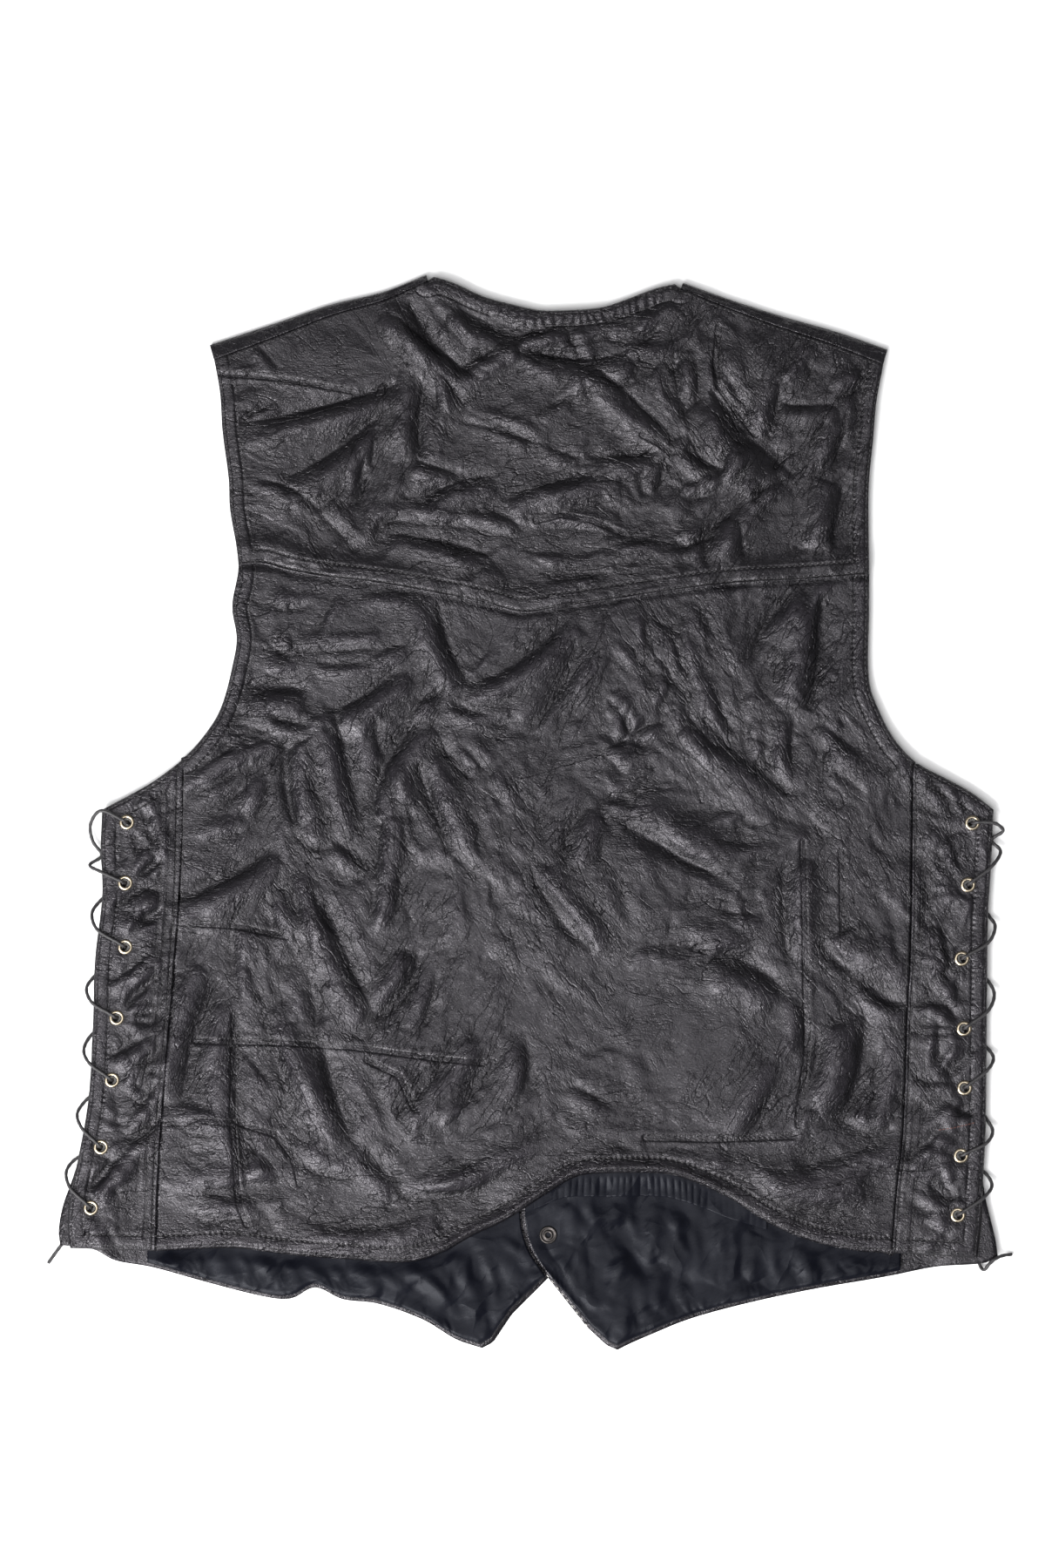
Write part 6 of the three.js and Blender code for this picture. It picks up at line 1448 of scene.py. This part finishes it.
def smoothed(route, per_span=8):
    """A smooth line through the route's places, never lower than the table allows."""
    out = []
    closed = np.vstack((2 * route[0] - route[1], route, 2 * route[-1] - route[-2]))
    for i in range(1, len(closed) - 2):
        p = closed[i - 1:i + 3]
        gaps = np.maximum(np.linalg.norm(np.diff(p, axis=0), axis=1), 1e-6) ** 0.5
        k = np.concatenate(([0], np.cumsum(gaps)))
        for t in np.linspace(k[1], k[2], per_span, endpoint=False):
            a = [(k[j + 1] - t) / (k[j + 1] - k[j]) * p[j] + (t - k[j]) / (k[j + 1] - k[j]) * p[j + 1]
                 for j in range(3)]
            b = [(k[j + 2] - t) / (k[j + 2] - k[j]) * a[j] + (t - k[j]) / (k[j + 2] - k[j]) * a[j + 1]
                 for j in range(2)]
            out.append((k[2] - t) / (k[2] - k[1]) * b[0] + (t - k[1]) / (k[2] - k[1]) * b[1])
    out.append(route[-1])
    line = np.array(out)
    line[:, 2] = np.maximum(line[:, 2], FLOOR_LEVEL)
    return (line - (*MIDDLE, 0)) * MM


print("lace routes ready")

# %% Lace tube and material
def lace_leather():
    s = Shader("lace_leather")
    place = s.add("ShaderNodeTexCoord").outputs["Object"]
    fine = s.noise(place, 1500, 3.0, 0.6)
    dark, pale = (0.006, 0.0055, 0.0065, 1), (0.028, 0.026, 0.028, 1)
    s.set(s.main.inputs["Base Color"], s.mix(fine, dark, pale))
    s.set(s.main.inputs["Roughness"], s.ramp(fine, 0.3, 0.7, 0.42, 0.62))
    s.set(s.main.inputs["Normal"], s.bump(fine, 0.0003))
    return s.material


LACE_LEATHER = lace_leather()


def lace(name, node, route):
    sides, twist_pitch = 12, 9 * MM
    line = smoothed(route)
    step = np.gradient(line, axis=0)
    step /= np.linalg.norm(step, axis=1)[:, None]
    run = np.concatenate(([0], np.cumsum(np.linalg.norm(np.diff(line, axis=0), axis=1))))
    across = np.cross(step[0], (0, 0, 1.0))
    across /= np.linalg.norm(across)
    points = []
    for i, centre in enumerate(line):
        across = across - step[i] * np.dot(across, step[i])
        across /= np.linalg.norm(across)
        up = np.cross(step[i], across)
        turn = 2 * math.pi * run[i] / twist_pitch
        for j in range(sides):
            a = 2 * math.pi * j / sides
            ply = 0.80 + 0.20 * abs(math.cos(a - turn))
            r = LACE / 2 * MM * ply
            points.append(centre + r * (math.cos(a) * across + math.sin(a) * up))
    faces = []
    for i in range(len(line) - 1):
        for j in range(sides):
            k = (j + 1) % sides
            faces.append((i * sides + j, i * sides + k, (i + 1) * sides + k, (i + 1) * sides + j))
    faces.append(tuple(range(sides))[::-1])
    faces.append(tuple(range((len(line) - 1) * sides, len(line) * sides)))
    mesh = bpy.data.meshes.new(name)
    mesh.from_pydata([tuple(p) for p in points], [], faces)
    mesh.polygons.foreach_set("use_smooth", [True] * len(faces))
    mesh.materials.append(LACE_LEATHER)
    piece = bpy.data.objects.new(name, mesh)
    bpy.context.collection.objects.link(piece)
    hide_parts(node)
    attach(piece, "root")
    tuple(line[0])
    [tuple(p) for p in line]
    print(name, "is", round(run[-1] * 1000), "mm long")
    return piece


lace("lace_left_twist", "lace_left", lace_route(EYELETS_LEFT, LOOPS_LEFT, SIDE_LEFT, FRONT_SIDE_LEFT, -1,
                                                LACE_START_LEFT, LACE_END_LEFT))
lace("lace_right_twist", "lace_right", lace_route(EYELETS_RIGHT, LOOPS_RIGHT, SIDE_RIGHT, FRONT_SIDE_RIGHT, 1,
                                                  LACE_START_RIGHT, LACE_END_RIGHT))

# %% [markdown]
# ## Eyelets and snap
# An eyelet is a rolled metal ring, the same fourteen times on the back and fourteen on the fronts. One
# ring is turned from its section, and Geometry Nodes set it on a point for each hole. The snap's ring is
# turned alone.

# %% Turned rings
def metal(name, colour, rough):
    s = Shader(name)
    place = s.add("ShaderNodeTexCoord").outputs["Object"]
    marks = s.noise(place, 700, 3.0, 0.6)
    s.main.inputs["Metallic"].default_value = 1.0
    dark = tuple(0.55 * c for c in colour)
    s.set(s.main.inputs["Base Color"], s.mix(s.ramp(marks, 0.35, 0.75), (*colour, 1), (*dark, 1)))
    s.set(s.main.inputs["Roughness"], s.ramp(marks, 0.3, 0.7, rough - 0.06, rough + 0.1))
    s.set(s.main.inputs["Normal"], s.bump(marks, 0.00005))
    return s.material


EYELET_METAL = metal("eyelet_metal", (0.44, 0.375, 0.28), 0.24)
SNAP_METAL = metal("snap_metal", (0.06, 0.054, 0.052), 0.42)


def turned_ring(name, profile, sides):
    """Closed ring from (radius, height) pairs in millimetres."""
    points, faces, n = [], [], len(profile)
    for i in range(sides):
        a = 2 * math.pi * i / sides
        points += [(r * MM * math.cos(a), r * MM * math.sin(a), z * MM) for r, z in profile]
    for i in range(sides):
        for j in range(n):
            a, b = i * n + j, i * n + (j + 1) % n
            c, d = ((i + 1) % sides) * n + (j + 1) % n, ((i + 1) % sides) * n + j
            faces.append((a, b, c, d))
    mesh = bpy.data.meshes.new(name)
    mesh.from_pydata(points, [], faces)
    shape = bmesh.new()
    shape.from_mesh(mesh)
    bmesh.ops.recalc_face_normals(shape, faces=shape.faces)
    shape.to_mesh(mesh)
    shape.free()
    mesh.polygons.foreach_set("use_smooth", [True] * len(mesh.polygons))
    return bpy.data.objects.new(name, mesh)


EYELET_SECTION = [(2.75, 0.1), (2.85, 0.5), (3.15, 0.84), (3.6, 0.98), (4.1, 0.9), (4.5, 0.66), (4.8, 0.38),
                  (5.0, 0.06), (4.6, 0.03), (3.05, 0.03), (3.0, -1.6), (3.6, -1.75),
                  (2.9, -1.95), (2.75, -1.85)]
print("ring section has", len(EYELET_SECTION), "places")

# %% Geometry Nodes that set a ring on points
def set_on_points(name, ring, points, material):
    """Joins one ring per point into a plain mesh."""
    cloud = bpy.data.meshes.new(name)
    cloud.from_pydata([(*placed(x, y), z * MM) for x, y, z in points], [], [])
    piece = bpy.data.objects.new(name, cloud)
    bpy.context.collection.objects.link(piece)
    tree = bpy.data.node_groups.new(name, "GeometryNodeTree")
    tree.interface.new_socket("Points", in_out="INPUT", socket_type="NodeSocketGeometry")
    size = tree.interface.new_socket("Size", in_out="INPUT", socket_type="NodeSocketFloat")
    tree.interface.new_socket("Rings", in_out="OUTPUT", socket_type="NodeSocketGeometry")
    start, end = tree.nodes.new("NodeGroupInput"), tree.nodes.new("NodeGroupOutput")
    source = tree.nodes.new("GeometryNodeObjectInfo")
    source.inputs["Object"].default_value = ring
    place = tree.nodes.new("GeometryNodeInstanceOnPoints")
    real = tree.nodes.new("GeometryNodeRealizeInstances")
    paint = tree.nodes.new("GeometryNodeSetMaterial")
    paint.inputs["Material"].default_value = material
    links = tree.links
    links.new(start.outputs["Points"], place.inputs["Points"])
    links.new(source.outputs["Geometry"], place.inputs["Instance"])
    links.new(start.outputs["Size"], place.inputs["Scale"])
    links.new(place.outputs[0], real.inputs[0])
    links.new(real.outputs[0], paint.inputs["Geometry"])
    links.new(paint.outputs[0], end.inputs[0])
    step = piece.modifiers.new("rings", "NODES")
    step.node_group = tree
    step[size.identifier] = 1.0
    return plain(piece, step, material)


def plain(piece, step, material):
    """Turns the result of a modifier into the piece's own mesh."""
    graph = bpy.context.evaluated_depsgraph_get()
    mesh = bpy.data.meshes.new_from_object(piece.evaluated_get(graph))
    piece.modifiers.remove(step)
    piece.data = mesh
    if not mesh.materials:
        mesh.materials.append(material)
    return piece


def eyelets():
    ring = turned_ring("eyelet_ring", EYELET_SECTION, 28)
    bpy.context.collection.objects.link(ring)
    for where, level in (("back", SIDE_LEVEL), ("front", FRONT_SIDE_LIFT + FRONT_LEATHER - 0.65)):
        for side, centres in (("left", EYELETS_LEFT), ("right", EYELETS_RIGHT)):
            points = [(x, y, level) for x, y in centres]
            piece = set_on_points(f"eyelets_{where}_{side}", ring, points, EYELET_METAL)
            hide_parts(*[f"eyelet_{where}_{side}_{i + 1}" for i in range(len(centres))])
            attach(piece, "root")
            print(piece.name, "has", len(piece.data.polygons), "faces")
    bpy.data.objects.remove(ring)


def snap():
    lift = float(drop_on(LINING_RIGHT_SKIN, np.array([SNAP[0]]), np.array([SNAP[1]]), 5.0)[0])
    seat = lift - 0.1
    section = [(1.6, 0.1), (1.6, 1.1), (1.9, 1.35), (2.5, 1.5), (2.9, 1.3), (3.2, 0.9), (3.9, 0.85),
               (4.3, 1.05),
               (4.9, 1.4), (5.3, 1.3), (5.65, 0.8), (5.7, 0.3), (5.2, 0.05)]
    ring = turned_ring("snap_disc", [(r, z + seat) for r, z in section], 40)
    for vertex in ring.data.vertices:
        vertex.co.x += placed(*SNAP)[0]
        vertex.co.y += placed(*SNAP)[1]
    ring.data.materials.append(SNAP_METAL)
    bpy.context.collection.objects.link(ring)
    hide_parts("snap_ring")
    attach(ring, "root")
    print("snap sits at", round(seat, 2), "mm")


eyelets()
snap()

# %% [markdown]
# ## Stitches
# Every row of stitches is a run of short threads. Each place on a row lies at a fixed distance from its
# seam, and it drops onto the skins below, so the thread also takes their slope. Geometry Nodes set one
# thread, a slim ellipsoid of few faces, on each place and turn it along the row.

# %% Places of the stitches
def beside(line, off, step=STITCH_STEP, skip=4.0):
    """Places on a row beside a line, each with its direction. A positive offset is to the left of the run."""
    line = dense(line, 0.5)
    run = lengths(line)
    at = np.arange(skip, run[-1] - skip, step)
    x, y = np.interp(at, run, line[:, 0]), np.interp(at, run, line[:, 1])
    tx = np.interp(at, run, np.gradient(line[:, 0]))
    ty = np.interp(at, run, np.gradient(line[:, 1]))
    much = np.hypot(tx, ty)
    tx, ty = tx / much, ty / much
    return np.column_stack((x - ty * off, y + tx * off, np.arctan2(ty, tx)))


def lower_yoke_rows():
    line = line_x(YOKE_EDGE, -186, 216)
    return [beside(line, ROW_NEAR), beside(line, ROW_FAR)]


def edge_rows():
    """Rows beside the armholes, the neck and the hem."""
    rows = []
    arms_left = line_y(ARMHOLE_LEFT, 286, 6)
    arms_right = line_y(ARMHOLE_RIGHT, 284, 6)
    for off in (ROW_NEAR, ROW_FAR + 1.5):
        rows += [beside(arms_left, off), beside(arms_right, -off)]
    rows.append(beside(line_x(NECK, -60, 92), -ROW_FAR))
    hem = line_x(HEM, -292, 284)
    rows += [beside(hem, ROW_NEAR + 0.8), beside(hem, ROW_FAR)]
    return rows


def side_rows():
    rows = []
    for off in SIDE_ROWS:
        rows.append(beside(line_y(SEAM_LEFT, 30, -276), -off, 3.0))
        rows.append(beside(line_y(SEAM_RIGHT, 26, -278), off, 3.0))
    rows.append(beside(line_y(SEAM_LEFT, 30, -270), 2.2, 3.0))
    rows.append(beside(line_y(SEAM_RIGHT, 26, -270), -2.2, 3.0))
    return rows


def shoulder_rows():
    return [beside(LEFT_SHOULDER_LINE, -1.8, 3.0), beside(RIGHT_SHOULDER_LINE, -1.8, 3.0)]


def patch_rows():
    return [beside(line, 2.4, 3.0, 1.0) for line in PATCH_SEAMS]


# where the photograph shows pale threads on the right front, and reddish ones in the right strip
SLANTED_EDGE = [(2, -289), (10, -299), (24, -316), (36, -332)]
RED_ROW = [(262, -203), (272, -201.5), (286, -198)]
ROWS = np.vstack(lower_yoke_rows() + edge_rows() + side_rows() + shoulder_rows() + patch_rows())
print("stitches:", len(ROWS))

# %% Thread and its nodes
HALF_STITCH = 1.1
THREAD_LENGTH, THREAD_WIDTH, THREAD_HEIGHT = 2.3, 0.65, 0.55


def thread(name, dark, pale):
    s = Shader(name)
    place = s.add("ShaderNodeTexCoord").outputs["Object"]
    fine = s.noise(place, 2500, 2.0)
    s.set(s.main.inputs["Base Color"], s.mix(fine, dark, pale))
    s.set(s.main.inputs["Roughness"], s.ramp(fine, 0.3, 0.7, 0.35, 0.6))
    return s.material


def laid_on(rows, skins):
    """Drops the places of a row onto the skins below and gives them the slope there."""
    trees = [search_tree(piece) for piece in skins]
    points, turns = [], []
    for x, y, angle in rows:
        dx, dy = HALF_STITCH * math.cos(angle), HALF_STITCH * math.sin(angle)
        ends = []
        for end_x, end_y in ((x - dx, y - dy), (x + dx, y + dy)):
            hits = [look_down(tree, end_x, end_y) for tree in trees]
            ends.append(max((hit.z for hit in hits if hit is not None), default=None))
        if None in ends or abs(ends[1] - ends[0]) > 2 * MM:
            continue
        points.append((*placed(x, y), (ends[0] + ends[1]) / 2 + 0.00008))
        turns.append((0.0, -math.atan2(ends[1] - ends[0], 2 * HALF_STITCH * MM), angle))
    return points, turns


def stitches(name, rows, skins, material):
    """One thread on each place of the rows, as one mesh."""
    points, turns = laid_on(rows, skins)
    cloud = bpy.data.meshes.new(name)
    cloud.from_pydata(points, [], [])
    turn_values = cloud.attributes.new("turn", "FLOAT_VECTOR", "POINT")
    turn_values.data.foreach_set("vector", np.array(turns).ravel())
    piece = bpy.data.objects.new(name, cloud)
    bpy.context.collection.objects.link(piece)
    tree = bpy.data.node_groups.new(name, "GeometryNodeTree")
    tree.interface.new_socket("Points", in_out="INPUT", socket_type="NodeSocketGeometry")
    size = tree.interface.new_socket("Thread length", in_out="INPUT", socket_type="NodeSocketFloat")
    tree.interface.new_socket("Threads", in_out="OUTPUT", socket_type="NodeSocketGeometry")
    add, links = tree.nodes.new, tree.links
    start, end = add("NodeGroupInput"), add("NodeGroupOutput")
    ball = add("GeometryNodeMeshUVSphere")
    ball.inputs["Segments"].default_value = 6
    ball.inputs["Rings"].default_value = 4
    ball.inputs["Radius"].default_value = 0.5
    turn = add("GeometryNodeInputNamedAttribute")
    turn.data_type = "FLOAT_VECTOR"
    turn.inputs["Name"].default_value = "turn"
    place = add("GeometryNodeInstanceOnPoints")
    shape = add("ShaderNodeCombineXYZ")
    shape.inputs["Y"].default_value = THREAD_WIDTH * MM
    shape.inputs["Z"].default_value = THREAD_HEIGHT * MM
    real, paint = add("GeometryNodeRealizeInstances"), add("GeometryNodeSetMaterial")
    paint.inputs["Material"].default_value = material
    links.new(start.outputs["Points"], place.inputs["Points"])
    links.new(start.outputs["Thread length"], shape.inputs["X"])
    links.new(ball.outputs["Mesh"], place.inputs["Instance"])
    links.new(turn.outputs["Attribute"], place.inputs["Rotation"])
    links.new(shape.outputs[0], place.inputs["Scale"])
    links.new(place.outputs[0], real.inputs[0])
    links.new(real.outputs[0], paint.inputs["Geometry"])
    links.new(paint.outputs[0], end.inputs[0])
    step = piece.modifiers.new("threads", "NODES")
    step.node_group = tree
    step[size.identifier] = THREAD_LENGTH * MM
    plain(piece, step, material)
    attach(piece, "root")
    print(name, len(points), "threads,", len(piece.data.polygons), "faces")


stitches("stitch_rows", ROWS, [YOKE_SKIN, BODY_SKIN, SIDE_LEFT_SKIN, SIDE_RIGHT_SKIN],
         thread("black_thread", (0.009, 0.0085, 0.010, 1), (0.045, 0.042, 0.045, 1)))
stitches("red_stitch_row", beside(RED_ROW, 0, 2.4, 1.0), [SIDE_RIGHT_SKIN],
         thread("red_thread", (0.05, 0.02, 0.018, 1), (0.14, 0.06, 0.05, 1)))
stitches("pale_stitch_row", beside(SLANTED_EDGE, 2.2, 5.0, 2.0), [FRONT_RIGHT_SKIN, LINING_RIGHT_SKIN],
         thread("pale_thread", (0.34, 0.33, 0.31, 1), (0.52, 0.51, 0.48, 1)))
